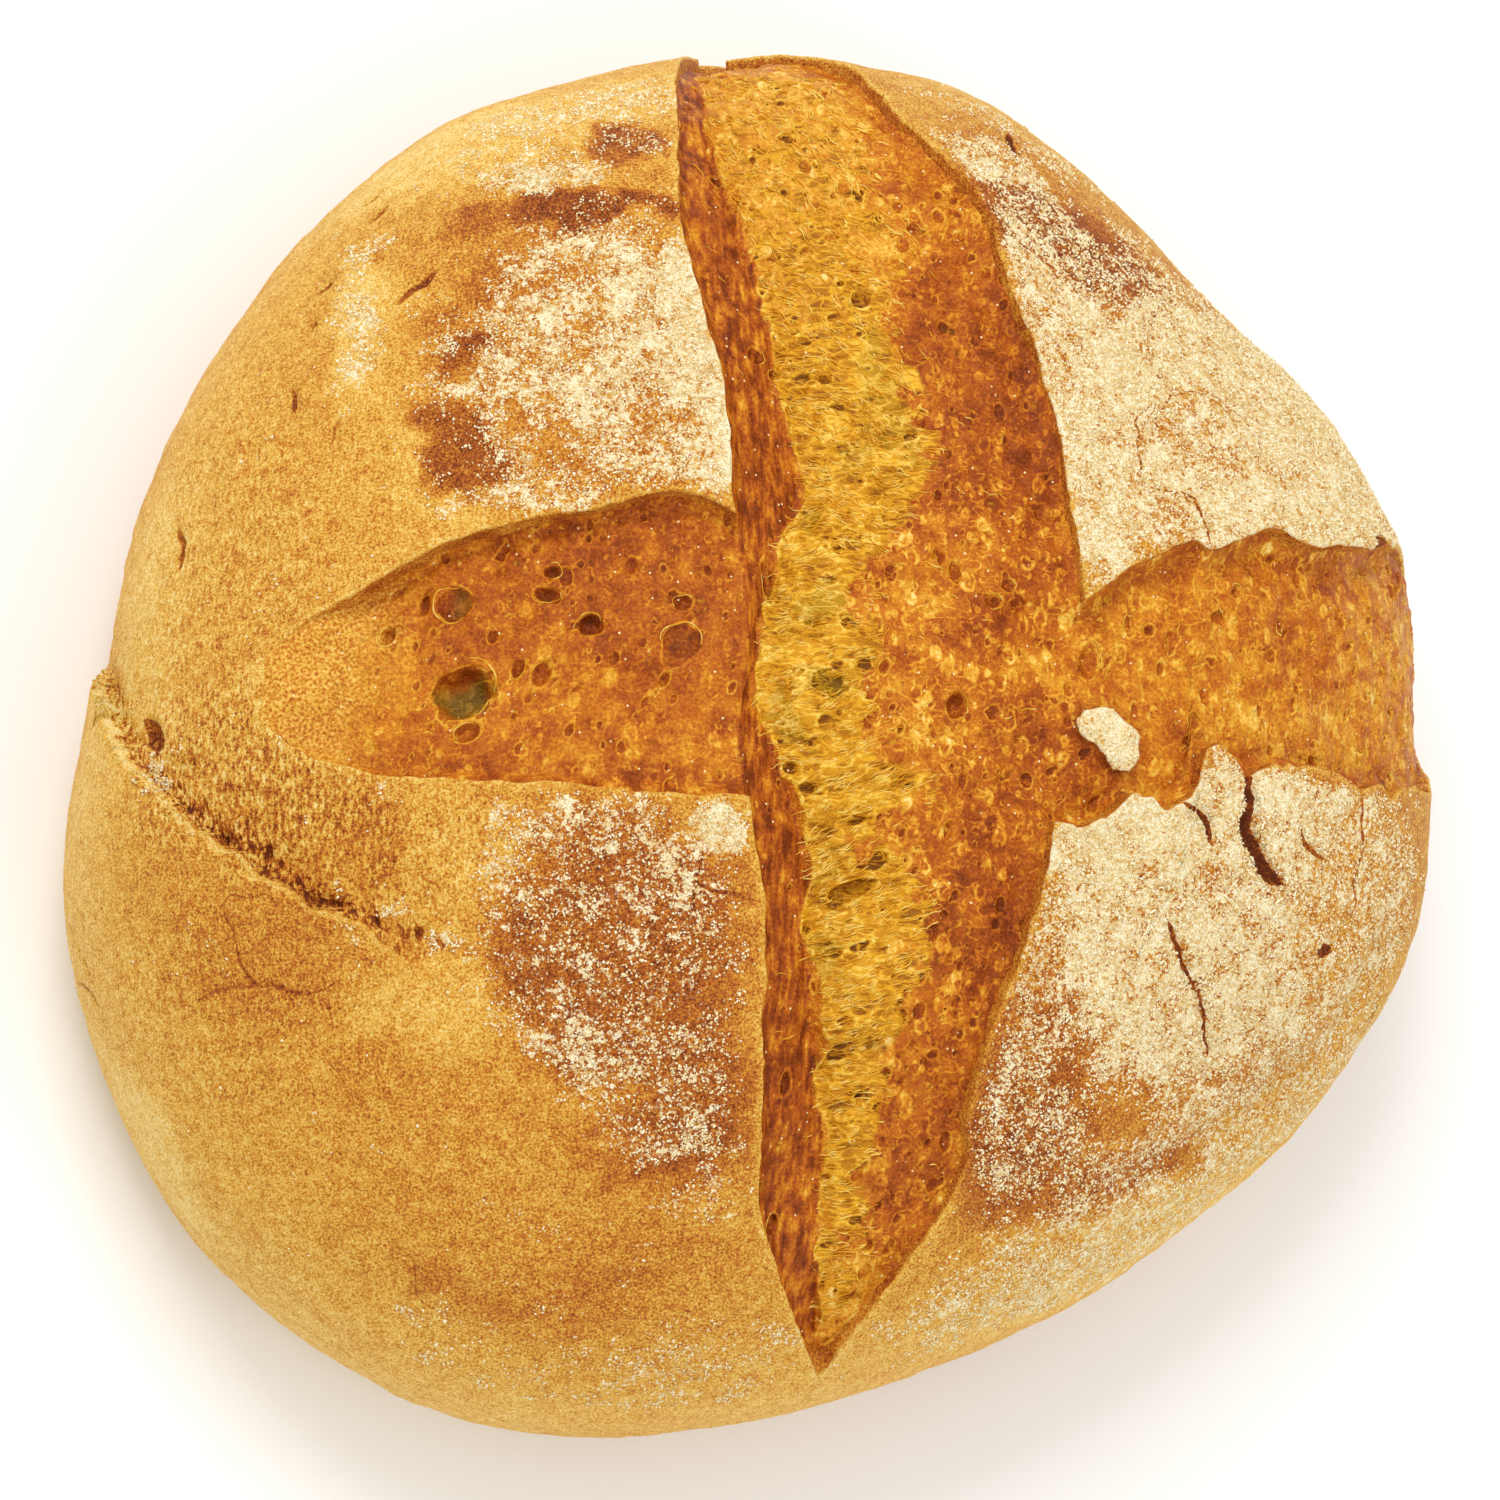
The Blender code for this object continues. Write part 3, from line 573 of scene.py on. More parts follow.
def tone(code):
    """Linear colour of a six-digit screen colour."""
    part = np.array([int(code[k:k + 2], 16) / 255 for k in (0, 2, 4)])
    part = np.where(part <= 0.04045, part / 12.92, ((part + 0.055) / 1.055) ** 2.4)
    return (*part, 1.0)


def node(tree, kind, inputs=(), **settings):
    """Shader node with its settings, and each input linked to a socket or set to a value."""
    made = tree.nodes.new("ShaderNode" + kind)
    for key, value in settings.items():
        setattr(made, key, value)
    for key, value in dict(inputs).items():
        if isinstance(value, bpy.types.NodeSocket):
            tree.links.new(value, made.inputs[key])
        else:
            made.inputs[key].default_value = value
    return made


def calc(tree, operation, *values):
    """Result of a Math node on sockets and numbers."""
    return node(tree, "Math", enumerate(values), operation=operation).outputs[0]


def product(tree, first, *others):
    """Product of sockets and numbers."""
    for other in others:
        first = calc(tree, "MULTIPLY", first, other)
    return first


def apart(tree, first, second):
    """How far two values are apart."""
    return calc(tree, "ABSOLUTE", calc(tree, "SUBTRACT", first, second))


def more(tree, value, amount, start):
    """Start plus an amount of a value."""
    return calc(tree, "MULTIPLY_ADD", value, amount, start)


def sway(tree, value, amount, start):
    """Start plus an amount of how far a value is above its middle, 0.5."""
    return more(tree, calc(tree, "SUBTRACT", value, 0.5), amount, start)


def limit(tree, value, low, high):
    """A value taken smoothly from 0 at low to 1 at high."""
    steps = {"Value": value, "From Min": low, "From Max": high}
    return node(tree, "MapRange", steps, interpolation_type="SMOOTHSTEP").outputs["Result"]


def noise(tree, size, detail, rough=0.5):
    """Noise with features of a size in millimetres on the piece's own coordinates."""
    place = node(tree, "TexCoord").outputs["Object"]
    made = {"Vector": place, "Scale": 1 / (size * MM), "Detail": detail, "Roughness": rough}
    return node(tree, "TexNoise", made).outputs["Fac"]


def drawn_noise(tree, place, size, scale, turn=0.0, detail=2.0):
    """Noise turned by degrees and drawn out along each axis whose scale is under 1."""
    turned = {"Vector": place, "Rotation": (0, 0, np.radians(turn)), "Scale": scale}
    drawn = node(tree, "Mapping", turned).outputs[0]
    made = {"Vector": drawn, "Scale": 1 / (size * MM), "Detail": detail}
    return node(tree, "TexNoise", made).outputs["Fac"]


def ramp(tree, value, stops):
    """Colour that runs through the given places and tones."""
    made = node(tree, "ValToRGB", {"Fac": value})
    band = made.color_ramp
    while len(band.elements) < len(stops):
        band.elements.new(0.5)
    for element, (place, code) in zip(band.elements, stops):
        element.position = place
        element.color = tone(code)
    return made.outputs["Color"]


def blend(tree, share, first, second):
    """First colour where the share is 0, second where it is 1."""
    made = node(tree, "Mix", {0: share, 6: first, 7: second}, data_type="RGBA")
    return made.outputs[2]


def spot(tree, name):
    """Value of a point attribute."""
    return node(tree, "Attribute", attribute_name=name).outputs["Fac"]


def new_finish(name, specular):
    """Material with its node tree and its shader."""
    material = bpy.data.materials.new(name)
    material.use_nodes = True
    shader = material.node_tree.nodes["Principled BSDF"]
    shader.inputs["Specular IOR Level"].default_value = specular
    return material, material.node_tree, shader


def roughen(tree, shader, relief, strength, depth):
    """Bumps of a depth in millimetres on the shader's surface."""
    bump = node(tree, "Bump", {"Height": relief, "Strength": strength, "Distance": depth * MM})
    tree.links.new(bump.outputs["Normal"], shader.inputs["Normal"])


def plain_finish(name, specular, roughness, size, tones):
    """Material whose colour wanders through its tones by a noise of a size in millimetres."""
    material, tree, shader = new_finish(name, specular)
    shader.inputs["Roughness"].default_value = roughness
    tree.links.new(ramp(tree, noise(tree, size, 1), tones), shader.inputs["Base Color"])
    return material


# Tones of the skin by browning, and of the flour from its darkest to its palest specks
BAKED_TONES = [(0.0, "F7DA90"), (0.15, "EEC25E"), (0.3, "E2AC44"), (0.42, "D4942F"), (0.55, "C27322"),
               (0.7, "A95718"), (0.85, "883E10"), (1.0, "602808")]
FLOUR_TONES = [(0.3, "CEA362"), (0.42, "E7CA8F"), (0.52, "F2E0AC"), (0.66, "FFF6D8")]

# Sizes of the skin's specks, drawn-out fibres and mottle
SPECK_SIZE = 0.42
STREAK_SIZE = 0.6
MOTTLE_SIZE = 2.6

# Sizes of the flour's clumps and drifts, and of the skin's pimples
CLUMP_SIZE = 1.0
DRIFT_SIZE = 4.5
PIMPLE_SIZE = 1.3


def crust_finish():
    """Matt golden to brown skin, finely mottled, under a dusting of pale semolina.

    Browning is the painted browning plus speck, mottle and fibre. It darkens in cracks, a painted
    shade, and in streaks just above the torn flap's edge, partly the fibres' own brown and partly
    painted shadow under the proud flap. It pales along the flap's edge. Flour covers it where the
    painted dusting plus clump and drift is high.
    """
    material, tree, shader = new_finish("baked_skin", 0.16)
    place = node(tree, "TexCoord").outputs["Object"]
    speck = noise(tree, SPECK_SIZE, 2, 0.7)
    streak = drawn_noise(tree, place, STREAK_SIZE, (1, 0.42, 0.7))
    fibre = product(tree, calc(tree, "SUBTRACT", streak, 0.5), spot(tree, "fibre"))
    browned = sway(tree, speck, 1.45, spot(tree, "bake"))
    browned = sway(tree, noise(tree, MOTTLE_SIZE, 3, 0.6), 0.48, browned)
    browned = more(tree, fibre, 1.3, browned)

    crack_half = spot(tree, "crack_half")
    open_by = calc(tree, "SUBTRACT", crack_half, calc(tree, "ABSOLUTE", spot(tree, "crack_away")))
    crack = limit(tree, open_by, -0.12, 0.14)
    away = spot(tree, "tear_away")
    # Streaks just above the flap's edge, darkened: partly the drawn-out fibres' own brown, partly painted
    # shadow under the proud flap
    root = product(tree, limit(tree, away, -0.05, -0.35), limit(tree, away, -4.0, -1.0),
                   limit(tree, streak, 0.40, 0.62), spot(tree, "tear_share"))
    edge = product(tree, limit(tree, apart(tree, away, 0.25), 0.42, 0.14), spot(tree, "tear_share"))
    browned = more(tree, edge, -0.22, browned)
    browned = more(tree, root, 0.38, browned)
    # Darker in the cracks, and more so in the wider ones: painted shade
    browned = more(tree, crack, more(tree, limit(tree, crack_half, 0.15, 0.7), 0.26, 0.20), browned)
    skin = ramp(tree, browned, BAKED_TONES)

    drift = noise(tree, DRIFT_SIZE, 2, 0.6)
    cover = sway(tree, noise(tree, CLUMP_SIZE, 3, 0.75), 1.6, spot(tree, "flour"))
    cover = more(tree, crack, -0.9, sway(tree, drift, 0.8, cover))
    cover = limit(tree, cover, 0.47, 0.60)
    dust = ramp(tree, sway(tree, drift, 0.45, speck), FLOUR_TONES)
    tree.links.new(blend(tree, cover, skin, dust), shader.inputs["Base Color"])
    rough = node(tree, "MapRange", {"Value": cover, "To Min": 0.55, "To Max": 0.95})
    tree.links.new(rough.outputs["Result"], shader.inputs["Roughness"])

    pimples = node(tree, "TexVoronoi", {"Vector": place, "Scale": 1 / (PIMPLE_SIZE * MM)})
    relief = more(tree, speck, 0.7, product(tree, pimples.outputs["Distance"], 0.35))
    roughen(tree, shader, more(tree, fibre, 1.2, relief), 0.9, 0.6)
    return material


def skin_values(x, y, away, fall):
    """What the finish reads on the skin, by distance from the lips and fall into the trough.

    The painted browning pales towards the girth, low on one side and along the lips. The trough
    has an even browning and no flour.
    """
    below = smoothstep(np.hypot(x, y), *UNDER_REACH)
    turn = np.degrees(np.arctan2(y, x)) % 360
    pale_side = np.exp(-((turn - PALE_TURN) / PALE_SPREAD) ** 2)
    inside = smoothstep(fall, 0.25, 0.9) * (1 - closed_tip(x + 4, y))
    lip = np.exp(-away / 0.4) * (1 - inside)
    bake = painted(x, y, GOLDEN, SKIN_BROWNING, 51)
    bake = bake - 0.12 * smoothstep(np.hypot(x, y), 105, 140) * (1 - below)
    bake = bake * (1 - below * 0.75 * pale_side) + 0.05 * waves(x, y, 30, 61) - 0.10 * lip
    bake = bake * (1 - inside) + (0.58 + 0.12 * waves(x, y, 5, 62)) * inside
    flour = painted(x, y, 0.0, DUSTINGS, 71) * (1 - smoothstep(fall, 0.3, 0.8))
    _, crack_away, crack_half = cracks(x, y)
    _, tear_away, tear_share = tear(x, y)
    return {"bake": bake, "flour": flour, "fibre": painted(x, y, 0.25, FIBROUS_SKIN, 65),
            "crack_away": crack_away, "crack_half": crack_half,
            "tear_away": tear_away, "tear_share": tear_share}


def crust_piece():
    """The whole closed skin: top grid, rows outside it down to the base, and the base."""
    flat, drop = crust_layout()
    columns, rows = drop.shape
    x, y = flat[..., 0].ravel(), flat[..., 1].ravel()
    number = np.arange(columns * rows).reshape(columns, rows)

    # Rows from the girth to the base
    rim = np.concatenate([number[:-1, 0], number[-1, :-1], number[:0:-1, -1], number[0, :0:-1]])
    reaches = np.linspace(GIRTH_REACH, BASE_REACH, RIM_ROWS + 1)[1:]
    outer_x = (x[rim][None] * (reaches / GIRTH_REACH)[:, None]).ravel()
    outer_y = (y[rim][None] * (reaches / GIRTH_REACH)[:, None]).ravel()
    fall = np.concatenate([drop.ravel(), np.zeros(len(outer_x))])
    x, y = np.concatenate([x, outer_x]), np.concatenate([y, outer_y])

    # Distance from the lips, and height
    left, right = long_lips(y)
    low, high = short_lips(x)
    beside = np.hypot(np.maximum(np.maximum(left - x, x - right), 0),
                      np.maximum(np.maximum(CUT_Y[0] - y, y - CUT_Y[-1]), 0))
    above = np.hypot(np.maximum(np.maximum(low - y, y - high), 0),
                     np.maximum(np.maximum(LEFT_ARM_X[0] - x, x - RIGHT_LOWER_LIP[-1][0]), 0))
    away = np.minimum(beside, above)
    height = skin_height(x, y, away)
    points = wrap(x, y, height - fall)

    # The flat base, and faces
    ring = len(rim)
    rings = np.concatenate([rim[None], columns * rows + np.arange(RIM_ROWS * ring).reshape(-1, ring)])
    foot = points[rings[-1]]
    base = foot[None] * np.stack([BASE_SHARES, BASE_SHARES, 0 * BASE_SHARES], -1)[:, None]
    base_rings = len(points) + np.arange(len(BASE_SHARES) * ring).reshape(-1, ring)
    points = np.concatenate([points, base.reshape(-1, 3), [[0, 0, 0]]])
    rings = np.concatenate([rings, base_rings])
    rings = np.concatenate([rings, rings[:, :1]], 1)
    hub = len(points) - 1
    fan = np.stack([rings[-1, 1:], rings[-1, :-1], np.full(ring, hub)], -1)
    quads = np.concatenate([grid_quads(number), grid_quads(rings.T)[:, ::-1]])

    values = skin_values(x, y, away, fall)
    spare = len(points) - len(x)
    values = {key: np.append(row, np.full(spare, BASE_VALUES[key])) for key, row in values.items()}
    return points, [quads, fan], values


crust_points, crust_faces, crust_values = crust_piece()
crust = new_piece("crust", crust_points, crust_faces, crust_values, crust_finish())
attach(crust, "root")
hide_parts("loaf")


# Crumb
# The inside of the dough that swelled up through the cross and baked: browned and bubbled
# where it opened early, torn and stringy along the valley where it opened last. It lies in
# the skin's trough and goes a little way under every lip.

# Place and depth of the long cut's valley
VALLEY_Y = [-125, -106, -87, -70, -53, -36, -22, -8, 5, 15, 33, 60, 81, 99, 120, 144]
VALLEY_X = [3, -2, -5, -8, -12, -12, -16, -22, -25, -20, -15, -18.5, -21, -22.5, -20, -12]
VALLEY_DEPTH = [0, 3.5, 6, 7.5, 8.5, 9, 7.5, 6, 5.5, 7.5, 9.5, 8.5, 7, 5, 2.2, 0.6]

# Share of that depth across from the left lip to the valley, and from the valley to the right lip
WALL_ACROSS = [0, 0.2, 0.8, 1]
WALL_SHARE = [0, 0.5, 0.85, 1]
FLOOR_ACROSS = [0, 0.1, 0.3, 0.65, 0.9, 0.96, 1]
FLOOR_SHARE = [1, 0.72, 0.5, 0.3, 0.27, 0.20, 0.04]

# Depth of the left and the right arm, across from the lower lip at -1 to the upper lip at 1
LEFT_ACROSS = [-1, -0.9, -0.6, 0, 0.65, 0.92, 1]
LEFT_DEPTH = [0.2, 2.4, 2.6, 2, 3.2, 3.6, 1.2]
RIGHT_ACROSS = [-1, -0.88, 0, 0.86, 1]
RIGHT_DEPTH = [0.8, 3.2, 2.4, 3.0, 0.5]
FULL_HALF_WIDTH = 18.0

# How far the crumb goes under the lips, how far it lies lower, and more where the cut closes
UNDER_LIP = 1.3
LIP_STEP = 0.4
END_DROP = 1.6

# Height of the crumb's flat foot, and its size against the sheet above
FOOT_HEIGHT = 14.0
FOOT_SHARE = 0.85

# Burst bubbles: place, half width, half height, depth
BUBBLES = [(-71, -6, 5.2, 4.6, 5.0), (-69, -6.5, 2.4, 2.6, 3.5), (-38, 1, 3.2, 3.6, 0.9),
           (-75, 9, 3.2, 3.2, 1.0), (-79.5, 9.5, 1.0, 2.2, 2.0), (-85, 4, 1.6, 2.0, 2.2),
           (-68, -13, 2.3, 1.6, 1.4), (-60, 10, 2.2, 1.5, 1.6), (-59, 14, 1.5, 1.3, 1.6),
           (-53, 4, 2.2, 2.2, 2.0), (-39, -5, 0.9, 1.4, 1.2), (-59, -4, 1.7, 2.2, 1.4),
           (-63, -3, 1.1, 1.7, 1.2), (-38, 8, 1.6, 1.4, 1.4), (-23, 13, 1.2, 3.6, 1.6),
           (9, -8, 1.7, 2.6, 2.4), (9, 15, 1.3, 1.8, 1.4), (6, 17, 1.1, 1.1, 1.2),
           (9, -29, 1.0, 1.5, 1.2), (-6, -37, 4.0, 2.0, 2.6), (-12, -4, 3.4, 2.2, 0.7),
           (15, 10, 1.5, 1.5, 1.2), (18, 13, 1.3, 1.3, 1.0), (33, 2, 1.9, 3.2, 1.4),
           (73, 13, 1.1, 1.6, 1.4), (62, 17, 1.1, 1.5, 1.3), (58, 12, 1.5, 1.5, 1.3),
           (44, 8, 1.1, 1.1, 1.0), (47, 2, 0.9, 1.5, 1.2), (53, -6, 1.5, 1.5, 1.0),
           (82, -9, 1.5, 1.5, 1.1), (-9, 99, 2.0, 1.3, 1.2), (9, 77, 1.7, 1.6, 1.8),
           (-3, 63, 1.8, 1.8, 1.4), (-3, 69, 1.0, 1.0, 1.0), (-10, 74, 1.3, 1.3, 1.0),
           (-23, 91, 1.1, 1.1, 1.0), (-21, 85, 1.5, 1.5, 1.1), (-18, 50, 1.1, 1.1, 1.2),
           (-13, 56, 1.0, 1.0, 1.0), (-21, 53, 1.5, 1.5, 1.2), (-31, 64, 1.4, 1.1, 1.0),
           (-13, -91, 1.5, 1.8, 1.3), (-14, -67, 0.9, 2.1, 1.3), (5, -108, 2.6, 0.9, 1.8),
           (-17, -83, 1.1, 1.1, 1.0), (-1, -72, 0.9, 0.9, 0.9), (9, -98, 1.0, 1.0, 0.9)]

# How far the crumb has browned, painted in turn: place, half width, half height, turn, browning
CRUMB_BROWNING = [(-50, 8, 30, 16, 0, 0.71), (-52, -9, 28, 7, 0, 0.64), (-94, -4, 14, 12, 0, 0.48),
                  (-78, -11, 20, 7, -8, 0.54), (-60, -14, 24, 5, 0, 0.60),
                  (-50, -20, 28, 2.5, 0, 0.74), (-50, 22, 26, 4, 8, 0.74),
                  (-10, 92, 18, 40, 0, 0.45), (11, 88, 7, 14, -10, 0.58), (14, 50, 12, 22, 0, 0.74),
                  (23, 44, 6, 26, 0, 0.82), (12, 30, 9, 12, 0, 0.75), (9, 14, 10, 6, 0, 0.60),
                  (24, 15, 6, 11, 0, 0.72), (-3, 8, 8, 5, 0, 0.54), (4, -3, 10, 8, 0, 0.62),
                  (14, 3, 5, 9, 0, 0.71), (26, -1, 9, 5, 0, 0.46), (0, -15, 10, 9, 0, 0.56),
                  (12, -14, 6, 5, 0, 0.58), (20, -14, 5, 12, 0, 0.73), (29, -16, 8, 8, 0, 0.76),
                  (9, -28, 10, 7, 0, 0.62), (17, -35, 9, 14, 0, 0.76), (8, -46, 6, 5, 0, 0.72),
                  (-1, -46, 6, 10, 0, 0.42), (19, -50, 5, 12, 0, 0.84), (10, -64, 9, 12, 0, 0.68),
                  (9, -82, 9, 16, 0, 0.72), (-2, -70, 6, 18, 0, 0.42), (4, -108, 6, 9, 0, 0.46),
                  (-105, -3, 12, 16, 0, 0.47), (48, 5, 22, 9, 0, 0.56), (76, -3, 32, 8, 0, 0.51),
                  (76, 23, 32, 6, 10, 0.60), (92, 21, 7, 3, -15, 0.78), (108, 12, 18, 18, 0, 0.52),
                  (44, -16, 8, 5, 0, 0.56), (49, -14, 2, 5, 0, 0.78), (70, -10, 30, 2.0, 0, 0.62)]
BROWN_CRUMB = 0.62
WALL_BROWNING = 0.74

# Edges of the strip that tore last, and how stringy it is, up the long cut
TORN_Y = [-125, -100, -80, -60, -50, -40, -30, -20, -10, 0, 10, 20, 30, 40, 50, 60, 80, 100, 150]
TORN_LEFT = [3, -3, -6, -9, -10.5, -13.5, -13, -16, -21, -25, -22.5, -19, -14.5, -16, -18.5, -19,
             -19.5, -22, -13]
TORN_RIGHT = [4, 3, 1, 1, 2, 3, -4, -1, -6, -9, -8, -3, 4, 5, 2, 1, 2, 4, -12]
TORN_SHARE = [0.6, 0.6, 0.8, 0.9, 0.9, 1, 1, 1, 1, 1, 1, 1, 1, 1, 0.85, 0.7, 0.5, 0.4, 0.3]

# Thin, olive, see-through skins in the torn strip and the largest bubbles: place, half width,
# half height, turn, share
GLASSY_HOLLOWS = [(-71, -6, 4.8, 4.4, 0, 1), (-75, 9, 3, 3, 0, 0.45), (-38, 1, 3, 3.4, 0, 0.12),
                  (-12, 8, 4, 3.5, 0, 1), (-13, 24, 2.5, 2.5, 0, 0.8), (0, 48, 3.5, 9, 0, 0.8),
                  (-18, -10, 3, 3, 0, 1), (-12, -4, 4.5, 2, 8, 1), (-3, 34, 3, 4, 0, 0.6),
                  (-19, 3, 3, 3, 0, 0.5), (-10, -46, 2.5, 3, 0, 0.8), (3, 36, 3, 6, 0, 0.7),
                  (-11, -31, 2.5, 2.5, 0, 0.7), (11, 53, 2, 3, 0, 0.5), (90, 21, 7, 3, -15, 0.5)]

# How far the baked face is broken into small bubbles: place, half width, half height, turn, share
BUBBLED = [(-60, 0, 45, 22, 0, 0.50), (-99, -3, 15, 16, 0, 0.05), (8, 0, 26, 60, 0, 1.0),
           (70, -4, 40, 12, 0, 0.6), (10, 80, 16, 40, 0, 0.7), (8, -90, 14, 30, 0, 0.7)]

# Tones of the browned face, of its see-through hollows, and of the torn strip and its hollows
BROWNED_TONES = [(0.0, "F8DC8C"), (0.2, "EFBC4A"), (0.38, "DE9A28"), (0.52, "CB7A1B"), (0.66, "B55D15"),
                 (0.8, "994610"), (1.0, "702E07")]
HOLLOW_TONES = [(0.45, "A8822C"), (0.65, "8A6820"), (0.9, "644814")]
STRINGY_TONES = [(0.18, "744208"), (0.38, "B67412"), (0.57, "D6961C"), (0.77, "E8AE28"), (1.0, "F7D466")]
GLASSY_TONES = [(0.15, "7C560A"), (0.40, "AF8218"), (0.66, "D2A22A"), (0.95, "F0CC66")]

# Sizes of its speck, mottle, upright streaks, swirls and their push, bubbles, and pale specks
# of stray semolina and painted glints
CRUMB_SPECK_SIZE = 0.55
CRUMB_MOTTLE_SIZE = 6.0
CRUMB_STREAK_SIZE = 1.1
SWIRL_SIZE = 3.2
SWIRL_PUSH = 1.6
SMALL_BUBBLE_SIZE = 1.5
WIDE_BUBBLE_SIZE = 3.4
SPARKLE_GAP = 1.5

# Scattered small pits: net size, seed, share of the net's squares with one, and depth
PITS = [(1.9, 101, 0.22, 0.4), (3.4, 102, 0.24, 0.6), (6.0, 103, 0.22, 0.8)]

# Mesh cells across and up the long cut, and along each arm
STRIP_COLUMNS = 104
STRIP_ROWS = 560
LEFT_ARM_COLUMNS = 120
RIGHT_ARM_COLUMNS = 170

# Where the arms' crumb ends
LEFT_END = -108
RIGHT_END = 172


def scattered(x, y, size, seed):
    """Distance to the nearest of scattered spots, one in each square of a net, and its number."""
    rng = np.random.default_rng(seed)
    shift = rng.uniform(0.1, 0.9, (128, 128, 2))
    own = rng.uniform(0, 1, (128, 128))
    u, v = x / size + 256, y / size + 256
    i, j = np.floor(u).astype(int), np.floor(v).astype(int)
    nearest = np.full(x.shape, 9.0)
    number = np.zeros(x.shape)
    for a in (i - 1, i, i + 1):
        for b in (j - 1, j, j + 1):
            spot_shift = shift[a % 128, b % 128]
            away = np.hypot(a + spot_shift[..., 0] - u, b + spot_shift[..., 1] - v)
            closer = away < nearest
            nearest = np.where(closer, away, nearest)
            number = np.where(closer, own[a % 128, b % 128], number)
    return nearest, number


def opening_depth(x, y):
    """Depth of the cross below the smooth loaf, and the share of the long cut's left wall.

    The depth is the deeper of the long cut and the arms. The long cut is as deep as its valley
    times a share across from the valley to each lip, and an arm is shallower where it is narrow.
    """
    left, right = long_lips(y)
    valley = np.clip(curve_through(y, VALLEY_Y, VALLEY_X), left + 1, None)
    deepest = curve_through(y, VALLEY_Y, VALLEY_DEPTH)
    wall = np.interp((x - left) / (valley - left), WALL_ACROSS, WALL_SHARE)
    floor = np.interp((x - valley) / np.maximum(right - valley, 1), FLOOR_ACROSS, FLOOR_SHARE)
    long_depth = deepest * np.where(x < valley, wall, floor)
    outside = np.maximum(left - x, x - right)
    long_depth = np.where(outside < 0, long_depth, 0)

    low, high = short_lips(x)
    half = np.maximum((high - low) / 2, 0.5)
    place = (y - (high + low) / 2) / half
    reach = np.where(x < 0, 1 - smoothstep(x, -16, -4),
                     smoothstep(x, 6, 22) * (1 - smoothstep(x, 92, 124)))
    arm = np.where(x < 0, np.interp(place, LEFT_ACROSS, LEFT_DEPTH),
                   np.interp(place, RIGHT_ACROSS, RIGHT_DEPTH))
    arm_depth = arm * np.minimum(1, half / FULL_HALF_WIDTH) * reach
    arm_depth = np.where(np.abs(place) < 1, arm_depth, 0)
    in_wall = smoothstep(valley - x, -0.5, 1.5) * (outside < 0)
    return np.maximum(long_depth, arm_depth), in_wall


def ridges(x, y, length, seed):
    """Sharp crests of waves: 1 on a crest, falling to 0 between crests."""
    return 1 - np.minimum(np.abs(waves(x, y, length, seed)) * 2.2, 1)


def pits(x, y, torn, in_wall, wander):
    """Depth of the bubbles' pits, height of their rims, and distance outside the nearest pit.

    Small round pits are scattered, one in some squares of a net. Each burst bubble is an oval.
    """
    pit = np.zeros_like(x)
    rim = np.zeros_like(x)
    bubble_away = np.full_like(x, 5.0)
    stretch = np.where(torn > 0.5, 0.7, 1.45)
    for size, seed, share, bite in PITS:
        away, number = scattered(x * stretch + 0.3 * wander, y, size, seed)
        there = (number < share) & ((in_wall < 0.5) | (number < 0.25 * share)) & (x > -92)
        radius = 0.16 + 0.5 * number / share * 0.4
        pit = np.maximum(pit, bite * there * (1 - smoothstep(away, radius * 0.55, radius)))
        rim = np.maximum(rim, there * np.exp(-((away - radius * 1.1) / 0.09) ** 2))
        bubble_away = np.minimum(bubble_away, np.where(there, (away - 0.85 * radius) * size, 5.0))
    wobble = 1 + 0.22 * waves(x, y, 2.2, 105)
    for middle_x, middle_y, half_x, half_y, hollow in BUBBLES:
        near = (np.abs(x - middle_x) < 2 * half_x + 2) & (np.abs(y - middle_y) < 2 * half_y + 2)
        away = np.hypot((x[near] - middle_x) / half_x, (y[near] - middle_y) / half_y) * wobble[near]
        pit[near] = np.maximum(pit[near], hollow * (1 - smoothstep(away, 0.55, 1.0)))
        rim[near] = np.maximum(rim[near], 0.8 * np.exp(-((away - 1.08) / (0.35 / half_x ** 0.7)) ** 2))
        bubble_away[near] = np.minimum(bubble_away[near], (away - 0.93) * min(half_x, half_y))
    return pit, rim, bubble_away


